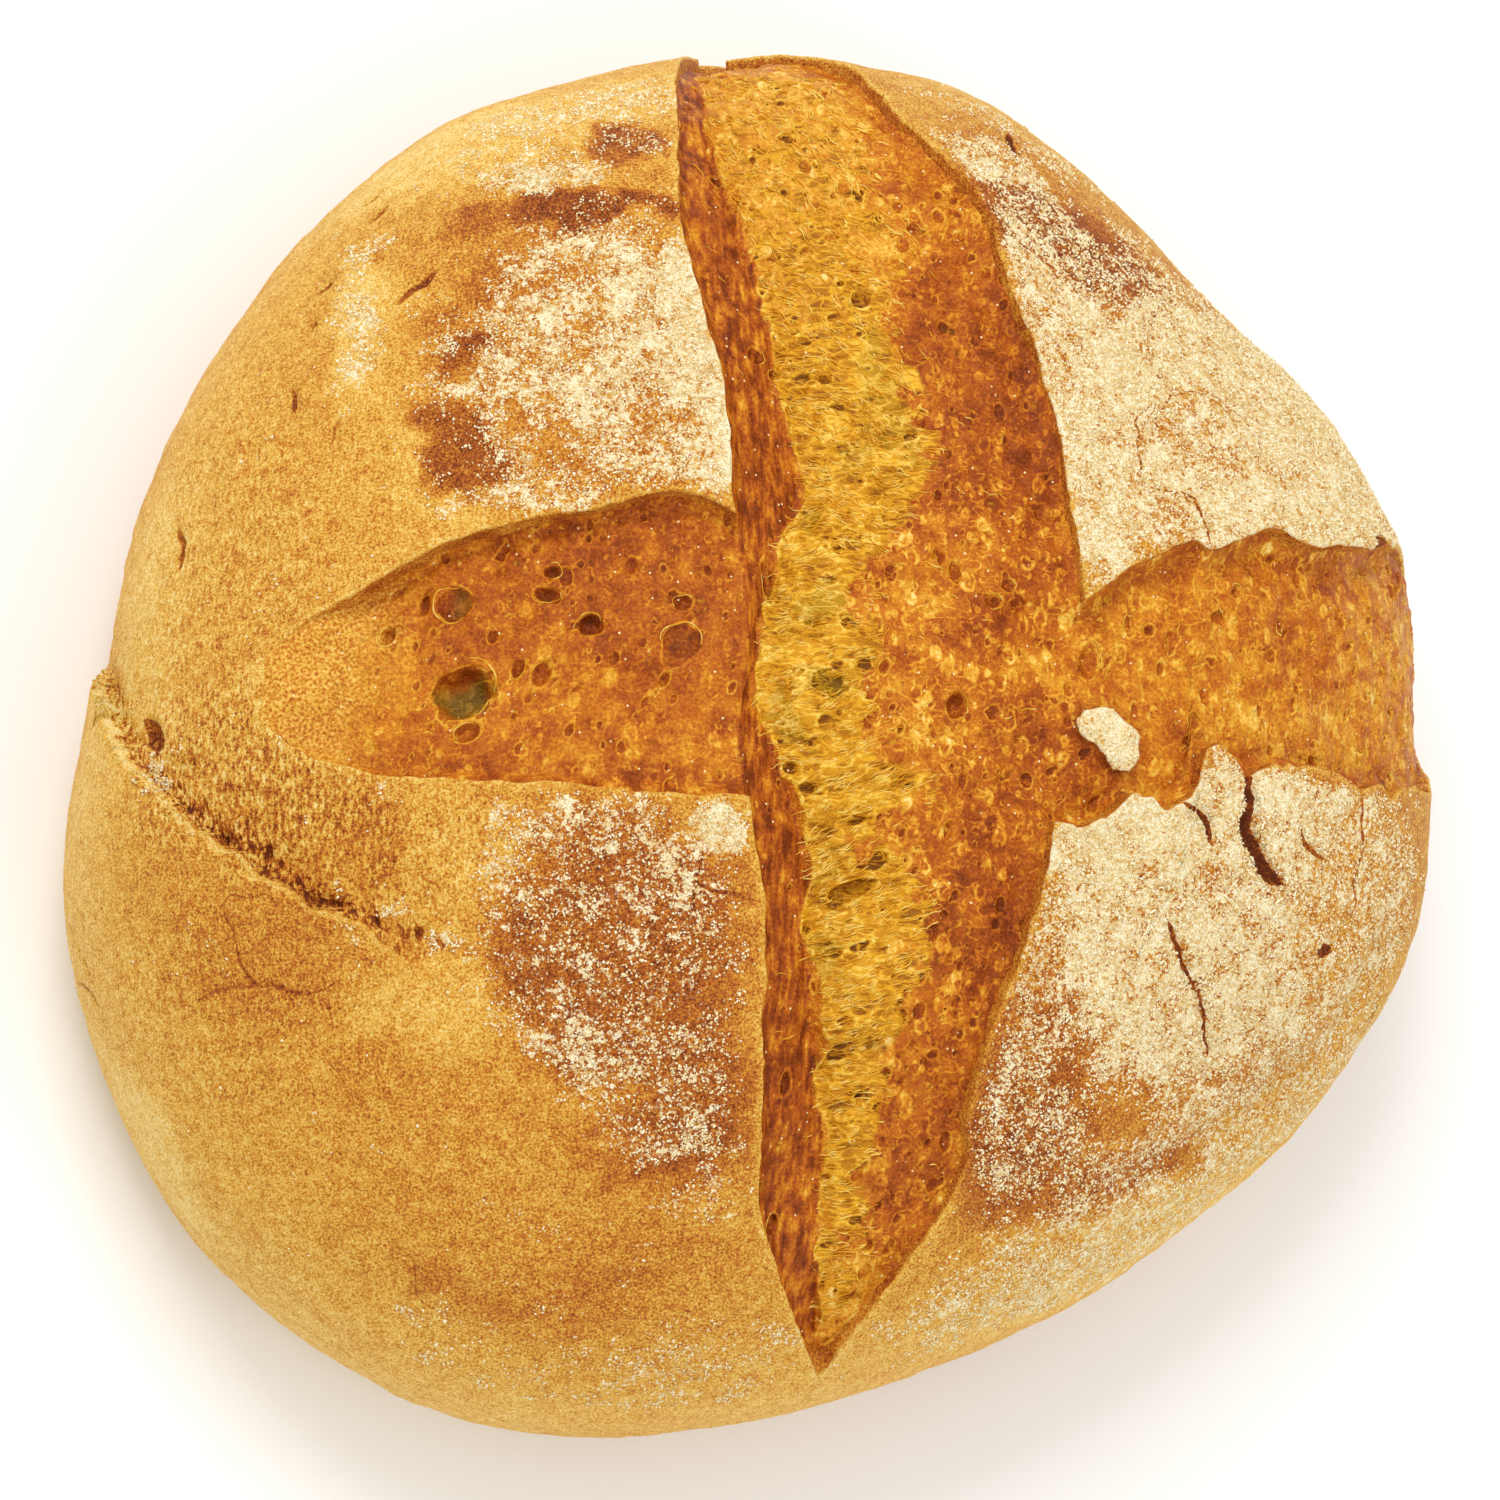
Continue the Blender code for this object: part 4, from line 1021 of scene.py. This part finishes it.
def crumb_relief(x, y):
    """Height of the crumb over the smooth loaf, and its finish's values by name.

    Height is minus the depth of the cut, plus slow waves, lumps where it baked, strings and lumps
    where it tore, and rims, less pits. It runs into the skin at the left arm's tip.
    """
    depth, in_wall = opening_depth(x, y)
    wander = 1.6 * waves(x, y, 7, 81) + 0.8 * waves(x, y, 2.6, 82)
    torn_left = curve_through(y, TORN_Y, TORN_LEFT)
    torn_right = curve_through(y, TORN_Y, TORN_RIGHT)
    torn = smoothstep(x + 0.7 * wander, torn_left - 0.4, torn_left + 0.6)
    patchy = 2.2 * wander + 4.5 * waves(x, y * 1.3, 5.2, 83)
    patchy += 2.5 * waves(0.8 * x + 0.6 * y, 0.8 * y - 0.6 * x, 2.3, 84)
    torn = torn * (1 - smoothstep(x + patchy, torn_right - 4, torn_right + 6))
    torn = torn * curve_through(y, TORN_Y, TORN_SHARE) * (x < 30)
    in_wall = smoothstep(torn_left - x - 0.7 * wander, -0.4, 0.8) * (in_wall > 0)
    bake = painted(x, y, BROWN_CRUMB, CRUMB_BROWNING, 85)
    bake = bake * (1 - in_wall) + WALL_BROWNING * in_wall
    glassy = painted(x, y, 0.0, GLASSY_HOLLOWS, 86)

    # Crests that run across the torn strip, and lumps
    bend_x = x + 1.3 * waves(x, y, 4.2, 91)
    bend_y = y + 1.6 * waves(x, y, 5.5, 92) + 0.12 * x
    strings = np.maximum(ridges(bend_x * 0.26, bend_y, 2.1, 93), ridges(bend_x * 0.36, bend_y, 1.3, 94))
    lumps = ridges(bend_x * 0.7, bend_y * 0.8, 3.2, 95)
    crest = torn * (0.66 * strings + 0.34 * lumps)
    pit, rim, bubble_away = pits(x, y, torn, in_wall, wander)

    baked_lumps = 0.30 * waves(x, y * 0.6, 3.2, 111) + 0.2 * waves(x, y * 0.7, 1.6, 112)
    torn_lumps = 1.1 * waves(x * 0.7, y, 5.5, 113) + 1.3 * (crest - 0.5) - 0.9 * glassy
    edge = np.exp(-((x + 0.7 * wander - torn_left - 0.2) / 0.45) ** 2) * (np.abs(y) < 118)
    height = -depth + 0.7 * waves(x, y * 1.6, 13, NOISE_SEED + 10)
    height += (1 - torn) * baked_lumps + torn * torn_lumps + 0.22 * rim - pit + 0.5 * edge
    tip = closed_tip(x, y)
    height = height * (1 - tip) + (skin_height(x, y, 0 * x) - 0.2) * tip
    tip = closed_tip(x - 9, y)
    return height, {"torn": torn, "bake": bake * (1 - tip) + 0.41 * tip, "pit": pit, "glassy": glassy,
                    "crest": np.maximum(crest, 0.9 * edge), "bubble_away": bubble_away,
                    "wall": in_wall, "tip": tip,
                    "bubbled": painted(x, y, 0.75, BUBBLED, 87) * (1 - 0.75 * in_wall)}


def crumb_layout():
    """Flat places and face grids of the crumb: one strip up the long cut, and an arm each side.

    An arm is a patch from its tip to the strip's edge, whose points it shares.
    """
    y = np.linspace(CUT_Y[0] - 0.6, CUT_Y[-1] + 1, STRIP_ROWS + 1)
    left, right = long_lips(y)
    share = np.linspace(0, 1, STRIP_COLUMNS + 1)[:, None]
    strip_x = (left - UNDER_LIP) * (1 - share) + (right + UNDER_LIP) * share
    strip = np.stack([strip_x, np.broadcast_to(y, strip_x.shape)], -1)
    strip_number = np.arange(strip_x.size).reshape(strip_x.shape)
    flats = [strip.reshape(-1, 2)]
    grids = [strip_number]
    count = strip_x.size
    for side, columns, tip in ((-1, LEFT_ARM_COLUMNS, LEFT_END), (1, RIGHT_ARM_COLUMNS, RIGHT_END)):
        edge = 0 if side < 0 else -1
        corner_low = crossing(side, -1)[1] - UNDER_LIP
        corner_high = crossing(side, 1)[1] + UNDER_LIP
        rows = np.nonzero((y > corner_low) & (y < corner_high))[0]
        inner = strip[edge, rows]
        x = tip + (inner[0, 0] - tip) * np.linspace(0, 1, columns + 1)
        low = np.stack([x, short_lips(x)[0] - UNDER_LIP], -1)
        x = tip + (inner[-1, 0] - tip) * np.linspace(0, 1, columns + 1)
        high = np.stack([x, short_lips(x)[1] + UNDER_LIP], -1)
        settle = np.linspace(0, 1, columns + 1)[:, None] ** 12
        low = low + (inner[0] - low[-1]) * settle
        high = high + (inner[-1] - high[-1]) * settle
        tip_share = np.linspace(0, 1, len(rows))[:, None]
        outer = low[0] * (1 - tip_share) + high[0] * tip_share
        patch = coons(outer, inner, low, high)
        number = count + np.arange(columns * len(rows)).reshape(columns, len(rows))
        number = np.concatenate([number, strip_number[edge, rows][None]])
        flats.append(patch[:-1].reshape(-1, 2))
        grids.append(number if side < 0 else number[::-1])
        count += columns * len(rows)
    return np.concatenate(flats), grids


def with_foot(points, faces, values):
    """A sheet closed below: its rim dropped to a flat foot inside the loaf.

    An edge is on the rim where no face uses it the other way round.
    """
    count = len(points)
    starts, ends = faces.ravel(), np.roll(faces, -1, 1).ravel()
    on_rim = ~np.isin(starts * count + ends, ends * count + starts)
    starts, ends = starts[on_rim], ends[on_rim]
    rim = np.sort(starts)
    foot = points[rim] * (FOOT_SHARE, FOOT_SHARE, 0) + (0, 0, FOOT_HEIGHT)
    foot_starts = count + np.searchsorted(rim, starts)
    foot_ends = count + np.searchsorted(rim, ends)
    hub = np.full(len(rim), count + len(rim))
    side = np.stack([ends, starts, foot_starts, foot_ends], -1)
    below = np.stack([foot_ends, foot_starts, hub], -1)
    points = np.concatenate([points, foot, [[0, 0, FOOT_HEIGHT]]])
    source = np.concatenate([np.arange(count), rim, rim[:1]])
    return points, [faces, side, below], {key: row[source] for key, row in values.items()}


def threads(tree, place, size, turn, stretch, width):
    """Fine pale threads: the lines where a stretched noise passes its middle value."""
    made = drawn_noise(tree, place, size, (stretch, 1, 1), turn, 1.0)
    return limit(tree, apart(tree, made, 0.5), width, 0.0)


def small_bubbles(tree, place, size, share):
    """Rims and insides of round bubbles of a size in millimetres, and a lot from 0 to 1 for each."""
    cells = node(tree, "TexVoronoi", {"Vector": place, "Scale": 1 / (size * MM)})
    lot = node(tree, "SeparateColor", {"Color": cells.outputs["Color"]}).outputs
    reach = more(tree, lot["Green"], 0.20, 0.20)
    off = calc(tree, "SUBTRACT", cells.outputs["Distance"], reach)
    there = limit(tree, lot["Red"], share + 0.02, share - 0.02)
    rim = product(tree, limit(tree, calc(tree, "ABSOLUTE", off), 0.11, 0.03), there)
    inside = product(tree, limit(tree, off, 0.0, -0.08), there)
    return rim, inside, lot["Blue"]


def baked_face(tree, place, push, speck, grain, mottle, hole, hole_rim):
    """Colour of the browned face: fine bubbles with pale rims and thin films, threads, and painted shade in
    the holes.
    """
    upright = node(tree, "Mapping", {"Vector": push, "Scale": (1, 0.75, 1)}).outputs[0]
    streak = drawn_noise(tree, place, CRUMB_STREAK_SIZE, (1, 0.22, 0.6))
    bubbled = spot(tree, "bubbled")
    rim, inside, lot = small_bubbles(tree, upright, SMALL_BUBBLE_SIZE, 0.64)
    wide_rim, wide_inside, wide_lot = small_bubbles(tree, upright, WIDE_BUBBLE_SIZE, 0.55)
    pale = calc(tree, "MAXIMUM", product(tree, rim, 0.6), wide_rim)
    pale = calc(tree, "MAXIMUM", pale, product(tree, threads(tree, push, 2.6, 60, 0.55, 0.035), 0.8))
    pale = product(tree, pale, limit(tree, streak, 0.36, 0.56), bubbled)
    pale = calc(tree, "MAXIMUM", pale, product(tree, hole_rim, 0.8))

    browned = sway(tree, speck, 0.60, spot(tree, "bake"))
    browned = sway(tree, grain, 0.50, browned)
    browned = sway(tree, mottle, 0.60, browned)
    browned = more(tree, product(tree, calc(tree, "SUBTRACT", streak, 0.5), spot(tree, "wall")), 1.2, browned)
    # Insides of the small bubbles: paler films in most, darker in the rest, a painted shade in their holes
    for film, film_lot in ((inside, lot), (wide_inside, wide_lot)):
        film = product(tree, film, calc(tree, "SUBTRACT", film_lot, 0.70), bubbled)
        browned = more(tree, film, 0.42, browned)
    # Paler on rims and threads, and darker in the burst bubbles' holes: painted shade
    browned = more(tree, hole, 0.14, more(tree, pale, -0.35, browned))
    hollow = ramp(tree, browned, HOLLOW_TONES)
    return blend(tree, product(tree, hole, spot(tree, "glassy")), ramp(tree, browned, BROWNED_TONES), hollow)


def torn_face(tree, push, speck, mottle, hole, hole_rim):
    """Colour of the torn strip: light on its crests and threads, olive in its glassy hollows, and darker in
    its holes, a painted shade.
    """
    line = calc(tree, "MAXIMUM", threads(tree, push, 1.5, 8, 0.22, 0.07),
                threads(tree, push, 2.3, -22, 0.28, 0.05))
    light = more(tree, line, 0.34, product(tree, speck, 0.25))
    light = more(tree, mottle, 0.30, light)
    light = more(tree, spot(tree, "crest"), 0.42, light)
    # Darker in the holes: painted shade; paler on their rims
    light = more(tree, hole, -0.28, more(tree, hole_rim, 0.25, light))
    stringy = ramp(tree, light, STRINGY_TONES)
    return blend(tree, spot(tree, "glassy"), stringy, ramp(tree, light, GLASSY_TONES))


def crumb_finish():
    """Baked crumb: torn yellow strings, and a browned, bubbled face that shines a little.

    The two faces meet where the painted torn share plus grain is about a half. The face turns into
    skin at the left arm's tip, and it has a few pale specks, partly stray grains of semolina and
    partly painted glints.
    """
    material, tree, shader = new_finish("baked_crumb", 0.12)
    shader.inputs["Roughness"].default_value = 0.42
    place = node(tree, "TexCoord").outputs["Object"]
    speck = noise(tree, CRUMB_SPECK_SIZE, 2, 0.6)
    mottle = noise(tree, CRUMB_MOTTLE_SIZE, 3, 0.6)
    swirl = node(tree, "TexNoise", {"Vector": place, "Scale": 1 / (SWIRL_SIZE * MM), "Detail": 1.5})
    grain = swirl.outputs["Fac"]
    pushed = {0: swirl.outputs["Color"], 1: (SWIRL_PUSH * MM,) * 3, 2: place}
    push = node(tree, "VectorMath", pushed, operation="MULTIPLY_ADD").outputs[0]
    away = spot(tree, "bubble_away")
    hole = limit(tree, away, 0.05, -0.35)
    hole_rim = product(tree, limit(tree, apart(tree, away, 0.10), 0.30, 0.06), limit(tree, grain, 0.40, 0.58))

    baked = baked_face(tree, place, push, speck, grain, mottle, hole, hole_rim)
    stringy = torn_face(tree, push, speck, mottle, hole, hole_rim)
    share = limit(tree, sway(tree, grain, 1.6, spot(tree, "torn")), 0.32, 0.62)
    skin = ramp(tree, sway(tree, speck, 1.45, spot(tree, "bake")), BAKED_TONES)
    face = blend(tree, spot(tree, "tip"), blend(tree, share, baked, stringy), skin)
    # Sparse pale specks: partly stray semolina, partly painted glints
    sparkle = node(tree, "TexVoronoi", {"Vector": place, "Scale": 1 / (SPARKLE_GAP * MM)})
    lot = node(tree, "SeparateColor", {"Color": sparkle.outputs["Color"]}).outputs["Green"]
    glints_and_semolina = product(tree, limit(tree, sparkle.outputs["Distance"], 0.16, 0.11), limit(tree, lot, 0.82, 0.84))
    tree.links.new(blend(tree, glints_and_semolina, face, tone("F6DCA0")), shader.inputs["Base Color"])
    roughen(tree, shader, more(tree, speck, 0.8, product(tree, grain, 0.9)), 0.8, 0.5)
    return material


flat, grids = crumb_layout()
crumb_x, crumb_y = flat[:, 0], flat[:, 1]
left, right = long_lips(crumb_y)
height, crumb_values = crumb_relief(crumb_x, crumb_y)
height = height - LIP_STEP * (1 - closed_tip(crumb_x, crumb_y))
height = height - END_DROP * (1 - smoothstep(right - left, 1.0, 6.0))
crumb_faces = np.concatenate([grid_quads(grid) for grid in grids])
closed = with_foot(wrap(crumb_x, crumb_y, height), crumb_faces, crumb_values)
crumb = new_piece("crumb", *closed, crumb_finish())
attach(crumb, "root")
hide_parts("loaf")


# Strings
# Thin strings of gluten that the tearing dough drew out across the open strip, and the pale
# rims left round its burst bubbles. They dried where they lie on the crumb.

STRINGS = 3200
STRINGS_TRIED = 60000
STRINGS_SEED = 17
STRING_RADIUS = (0.09, 0.22)
STRING_STEPS = 7
RIM_STEPS = 26
STRING_TONES = [(0.36, "DB971C"), (0.5, "E9B032"), (0.62, "F7D368")]

# How the strings lean up the long cut, in degrees
STRING_LEAN_Y = [-120, -60, -20, 10, 30, 60, 110]
STRING_LEAN = [5, 10, 8, 6, -22, -45, -60]


def tubes(x, y, lift, radius):
    """Three-sided tubes along rows of flat places, lifted off the crumb, with closed ends."""
    count, steps = x.shape
    ground = crumb_relief(x.ravel(), y.ravel())[0].reshape(x.shape) - LIP_STEP
    middle = wrap(x, y, ground + lift)
    normal = outward(x, y)
    along = np.gradient(middle, axis=1)
    side = np.cross(along, normal)
    side = side / np.linalg.norm(side, axis=-1, keepdims=True)
    turn = np.radians([90, 210, 330])
    ring = (side[:, :, None] * np.cos(turn)[:, None] + normal[:, :, None] * np.sin(turn)[:, None])
    points = middle[:, :, None] + ring * radius[..., None, None]
    number = np.arange(count * steps * 3).reshape(count, steps, 3)
    near, far = number[:, :-1], number[:, 1:]
    quads = np.stack([near, far, np.roll(far, -1, -1), np.roll(near, -1, -1)], -1).reshape(-1, 4)
    ends = np.concatenate([number[:, 0], number[:, -1, ::-1]])
    return points.reshape(-1, 3), quads, ends


# Strings thrown over the torn strip, each leaning, a little bent and arched off the crumb
rng = np.random.default_rng(STRINGS_SEED)
try_x, try_y = rng.uniform(-30, 36, STRINGS_TRIED), rng.uniform(-118, 122, STRINGS_TRIED)
tried = crumb_relief(try_x, try_y)[1]
chance = tried["torn"] * 0.9 + 0.006 * (tried["torn"] < 0.3)
left, right = long_lips(try_y)
keep = (rng.uniform(0, 1, len(try_x)) < chance) & (tried["pit"] < 0.5)
keep &= (try_x > left + 3) & (try_x < right - 3)
string_x, string_y = try_x[keep][:STRINGS], try_y[keep][:STRINGS]
lean = np.radians(curve_through(string_y, STRING_LEAN_Y, STRING_LEAN) + rng.normal(0, 12, len(string_x))
                  + 26 * waves(string_x, string_y, 9, 141))
length = 1.6 + rng.exponential(1.9, len(string_x))
bend = rng.normal(0, 0.09, len(string_x))
way = np.linspace(-0.5, 0.5, STRING_STEPS)[None]
run = way * np.minimum(length, 7)[:, None]
off = bend[:, None] * run ** 2 + 0.15 * np.sin(run * 3 + string_x[:, None])
path_x = string_x[:, None] + run * np.cos(lean)[:, None] - off * np.sin(lean)[:, None]
path_y = string_y[:, None] + run * np.sin(lean)[:, None] + off * np.cos(lean)[:, None]
arch = 1 - (2 * way) ** 2
lift = rng.uniform(-0.08, 0.22, len(string_x))[:, None] * arch - 0.34 * (1 - arch)
radius = rng.uniform(*STRING_RADIUS, len(string_x))[:, None] * (0.35 + 0.65 * arch)
string_points, string_quads, string_ends = tubes(path_x, path_y, lift, radius)

# Rims round a part of each larger burst bubble, thin at their ends
burst = np.array([b for b in BUBBLES if b[2] > 1.0])
opened = rng.uniform(120, 260, len(burst))
start = rng.uniform(0, 360, len(burst))
turn = np.radians(start[:, None] + opened[:, None] * np.linspace(0, 1, RIM_STEPS))
grow = 1.02 + 0.07 * np.sin(3 * turn + burst[:, :1]) + 0.04 * np.sin(5 * turn + burst[:, 1:2])
path_x = burst[:, :1] + burst[:, 2:3] * grow * np.cos(turn)
path_y = burst[:, 1:2] + burst[:, 3:4] * grow * np.sin(turn)
thin = np.sin(np.linspace(0, np.pi, RIM_STEPS))[None] ** 0.5
radius = (0.10 + 0.035 * burst[:, 2:3]) * (0.3 + 0.7 * thin)
rim_points, rim_quads, rim_ends = tubes(path_x, path_y, 0.05 * np.ones_like(path_x), radius)

points = np.concatenate([string_points, rim_points])
first = len(string_points)
faces = [string_quads, rim_quads + first, string_ends, rim_ends + first]
finish = plain_finish("gluten_strings", 0.12, 0.45, 2.2, STRING_TONES)
strings = new_piece("strings", points, faces, {}, finish)
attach(strings, "root")
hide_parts("loaf")


# Scrap
# A scrap of the floured skin that stayed behind in the mouth of the right arm when the cross
# opened. It is the same skin as the crust, about 2 mm thick, and sits on the crumb.

SCRAP_OUTLINE = [(35.5, -5.7), (37.5, -7.6), (40.2, -10), (40.6, -13), (39.4, -15.8), (36.6, -15.9),
                 (34.6, -13.6), (32, -11.8), (29.4, -10.2), (28.4, -8.2), (30.6, -6.2), (33, -5.8)]
SCRAP_MIDDLE = (35.0, -10.4)
SCRAP_THICK = 1.9

# Rings from the scrap's middle to its edge and under it: size and height of each
RING_SHARE = np.array([0.06, 0.2, 0.35, 0.5, 0.63, 0.75, 0.85, 0.92, 0.97, 1.0, 0.99, 0.9])
RING_HEIGHT = np.array([1, 1, 1, 1, 1, 1, 1, 0.98, 0.92, 0.6, -0.2, -0.7])

# Rings of the outline's shape, laid over the crumb's floor
corners = np.array(SCRAP_OUTLINE + SCRAP_OUTLINE[:1])
around = np.linspace(0, len(corners) - 1, 145)[:-1]
edge_x = np.interp(around, np.arange(len(corners)), corners[:, 0]) + 0.5 * ragged(around * 3, 131, 0.6)
edge_y = np.interp(around, np.arange(len(corners)), corners[:, 1]) + 0.5 * ragged(around * 3, 133, 0.6)
scrap_x = SCRAP_MIDDLE[0] + (edge_x - SCRAP_MIDDLE[0]) * RING_SHARE[:, None]
scrap_y = SCRAP_MIDDLE[1] + (edge_y - SCRAP_MIDDLE[1]) * RING_SHARE[:, None]
floor_depth = -opening_depth(scrap_x, scrap_y)[0] - LIP_STEP
scrap_lift = SCRAP_THICK * RING_HEIGHT[:, None] + 0.6 * waves(scrap_x, scrap_y, 1.9, 135)
scrap_points = wrap(scrap_x, scrap_y, np.maximum(floor_depth, -4.5) + scrap_lift + 0.3)
number = np.arange(scrap_x.size).reshape(scrap_x.shape)
number = np.concatenate([number, number[:, :1]], 1)
hubs = scrap_points[[0, -1]].mean(1)
points = np.concatenate([scrap_points.reshape(-1, 3), hubs])
hub = np.full(len(around), len(points) - 2)
lid = np.stack([number[0, 1:], number[0, :-1], hub], -1)
foot = np.stack([number[-1, :-1], number[-1, 1:], hub + 1], -1)

# What the crust's finish reads: floury on top, bare and browner at the edge, and uncracked
share = np.append(np.repeat(RING_SHARE, len(around)), RING_SHARE[[0, -1]])
none = np.zeros_like(share)
scrap_values = {"bake": 0.5 + 0.2 * (share > 0.95), "flour": np.where(share > 0.98, 0.2, 0.78),
                "fibre": none, "crack_away": none + 5, "crack_half": none,
                "tear_away": none + 9, "tear_share": none}
scrap_faces = [grid_quads(number.T), lid, foot]
scrap = new_piece("scrap", points, scrap_faces, scrap_values, crust.data.materials[0])
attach(scrap, "root")
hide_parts("loaf")


# Semolina
# Coarse pale grains of durum semolina that the loaf was rolled in, stuck to the skin where
# its dusting is thick. Each is a small uneven lump of eight faces.

GRAINS_TRIED = 420000
GRAINS_SEED = 5
GRAINS_REACH = 130
GRAIN_SIZE = (0.14, 0.32)
GRAIN_LIFT = 0.06
MOST_GRAINS = 24500
GRAIN_TONES = [(0.38, "E4C07C"), (0.5, "F4DFA8"), (0.62, "FFF7D8")]
QUARTERS = {"northwest": (-1, 1), "northeast": (1, 1), "southwest": (-1, -1), "southeast": (1, -1)}


def turned(shape, angle, first, second):
    """Lumps turned by an angle each, from their first towards their second axis."""
    c, s = np.cos(angle)[:, None], np.sin(angle)[:, None]
    made = shape.copy()
    made[..., first] = shape[..., first] * c - shape[..., second] * s
    made[..., second] = shape[..., first] * s + shape[..., second] * c
    return made


def grains(x, y, rng):
    """Points and faces of one lump at each place: an octahedron, stretched and turned, half sunk in."""
    corners = np.array([(1, 0, 0), (0, 1, 0), (-1, 0, 0), (0, -1, 0), (0, 0, 1), (0, 0, -1)], float)
    sides = np.array([(0, 1, 4), (1, 2, 4), (2, 3, 4), (3, 0, 4), (1, 0, 5), (2, 1, 5), (3, 2, 5), (0, 3, 5)])
    count = len(x)
    size = rng.uniform(*GRAIN_SIZE, (count, 1, 1)) * rng.uniform(0.7, 1.3, (count, 1, 3))
    shape = corners[None] * size + rng.normal(0, 0.04, (count, 6, 3))
    turn, lean = rng.uniform(0, 2 * np.pi, count), rng.uniform(0, np.pi, count)
    shape = turned(turned(shape, turn, 0, 1), lean, 1, 2)
    left, right = long_lips(y)
    low, high = short_lips(x)
    beside = np.maximum(np.maximum(left - x, x - right), 0)
    above = np.maximum(np.maximum(low - y, y - high), 0)
    skin = skin_height(x, y, np.minimum(beside, above))
    middle = wrap(x, y, skin + GRAIN_LIFT)
    points = (middle[:, None] + shape).reshape(-1, 3)
    faces = (sides[None] + 6 * np.arange(count)[:, None, None]).reshape(-1, 3)
    return points, faces


semolina = plain_finish("semolina", 0.2, 0.85, 0.8, GRAIN_TONES)

# Grains thrown over the whole top, kept on the skin with a chance that grows with the dusting
rng = np.random.default_rng(GRAINS_SEED)
try_x, try_y = rng.uniform(-128, 128, (2, GRAINS_TRIED))
left, right = long_lips(try_y)
low, high = short_lips(try_x)
on_skin = ((try_x < left - 0.2) | (try_x > right + 0.2)) & ((try_y < low - 0.2) | (try_y > high + 0.2))
on_skin &= np.hypot(try_x, try_y) < GRAINS_REACH
dusted = painted(try_x, try_y, 0.0, DUSTINGS, 71) + 0.22 * waves(try_x, try_y, 1.7, 121)
dusted = dusted + 0.16 * waves(try_x, try_y, 4.3, 122)
keep = on_skin & (rng.uniform(0, 1, len(try_x)) < smoothstep(dusted, 0.12, 0.85))
keep &= cracks(try_x, try_y)[0] < 0.3
grain_x, grain_y = try_x[keep], try_y[keep]
for name, (side_x, side_y) in QUARTERS.items():
    here = (grain_x * side_x > 0) & (grain_y * side_y > 0)
    points, faces = grains(grain_x[here][:MOST_GRAINS], grain_y[here][:MOST_GRAINS], rng)
    piece = new_piece("semolina_" + name, points, [faces], {}, semolina)
    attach(piece, "root")
    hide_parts("loaf")


# Studio
# Pale floor, a broad soft light from above the far side and a weaker one from the near side, an
# even white surround, and the camera looking down at the loaf from its near left.

CAMERA_TILT = 20.0
CAMERA_TURN = 31.0
CAMERA_AIM = Vector((-0.00315, -0.00246, 0.030))
CAMERA_DISTANCE = 1.085
CAMERA_LENS = 150.0
LIGHTS_AIM = Vector((0, 0, 0.05))
SURROUND = 0.77

floor_mesh = bpy.data.meshes.new("floor")
floor_mesh.from_pydata([(-3, -3, 0), (3, -3, 0), (3, 3, 0), (-3, 3, 0)], [], [(0, 1, 2, 3)])
floor_finish = bpy.data.materials.new("pale_floor")
floor_finish.use_nodes = True
floor_finish.node_tree.nodes["Principled BSDF"].inputs["Base Color"].default_value = tone("FAFAF8")
floor_finish.node_tree.nodes["Principled BSDF"].inputs["Roughness"].default_value = 0.9
floor_mesh.materials.append(floor_finish)
floor = bpy.data.objects.new("floor", floor_mesh)
bpy.context.collection.objects.link(floor)


def soft_light(name, place, size, power):
    """Square area light at a place, of a size in metres and a power in watts, facing the loaf."""
    lamp = bpy.data.lights.new(name, "AREA")
    lamp.size = size
    lamp.energy = power
    light = bpy.data.objects.new(name, lamp)
    light.location = place
    light.rotation_euler = (Vector(place) - LIGHTS_AIM).to_track_quat("Z", "Y").to_euler()
    bpy.context.collection.objects.link(light)


soft_light("key_light", (-0.35, 0.70, 1.1), 0.6, 8)
soft_light("fill_light", (0.50, -0.85, 0.9), 0.8, 3.5)
world = bpy.data.worlds.new("studio")
world.use_nodes = True
world.node_tree.nodes["Background"].inputs["Color"].default_value = (1, 1, 1, 1)
world.node_tree.nodes["Background"].inputs["Strength"].default_value = SURROUND
bpy.context.scene.world = world
bpy.context.scene.view_settings.view_transform = "Standard"

tilt, turn = np.radians(CAMERA_TILT), np.radians(CAMERA_TURN)
back = Vector((-np.sin(tilt) * np.cos(turn), -np.sin(tilt) * np.sin(turn), np.cos(tilt)))
up = (Vector((0, 1, 0)) - back * back.y).normalized()
across = up.cross(back)
lens = bpy.data.cameras.new("camera")
lens.lens = CAMERA_LENS
lens.sensor_width = 36
camera = bpy.data.objects.new("camera", lens)
bpy.context.collection.objects.link(camera)
camera.matrix_world = Matrix.Translation(CAMERA_AIM + back * CAMERA_DISTANCE) @ Matrix(
    (across, up, back)).transposed().to_4x4()
bpy.context.scene.camera = camera
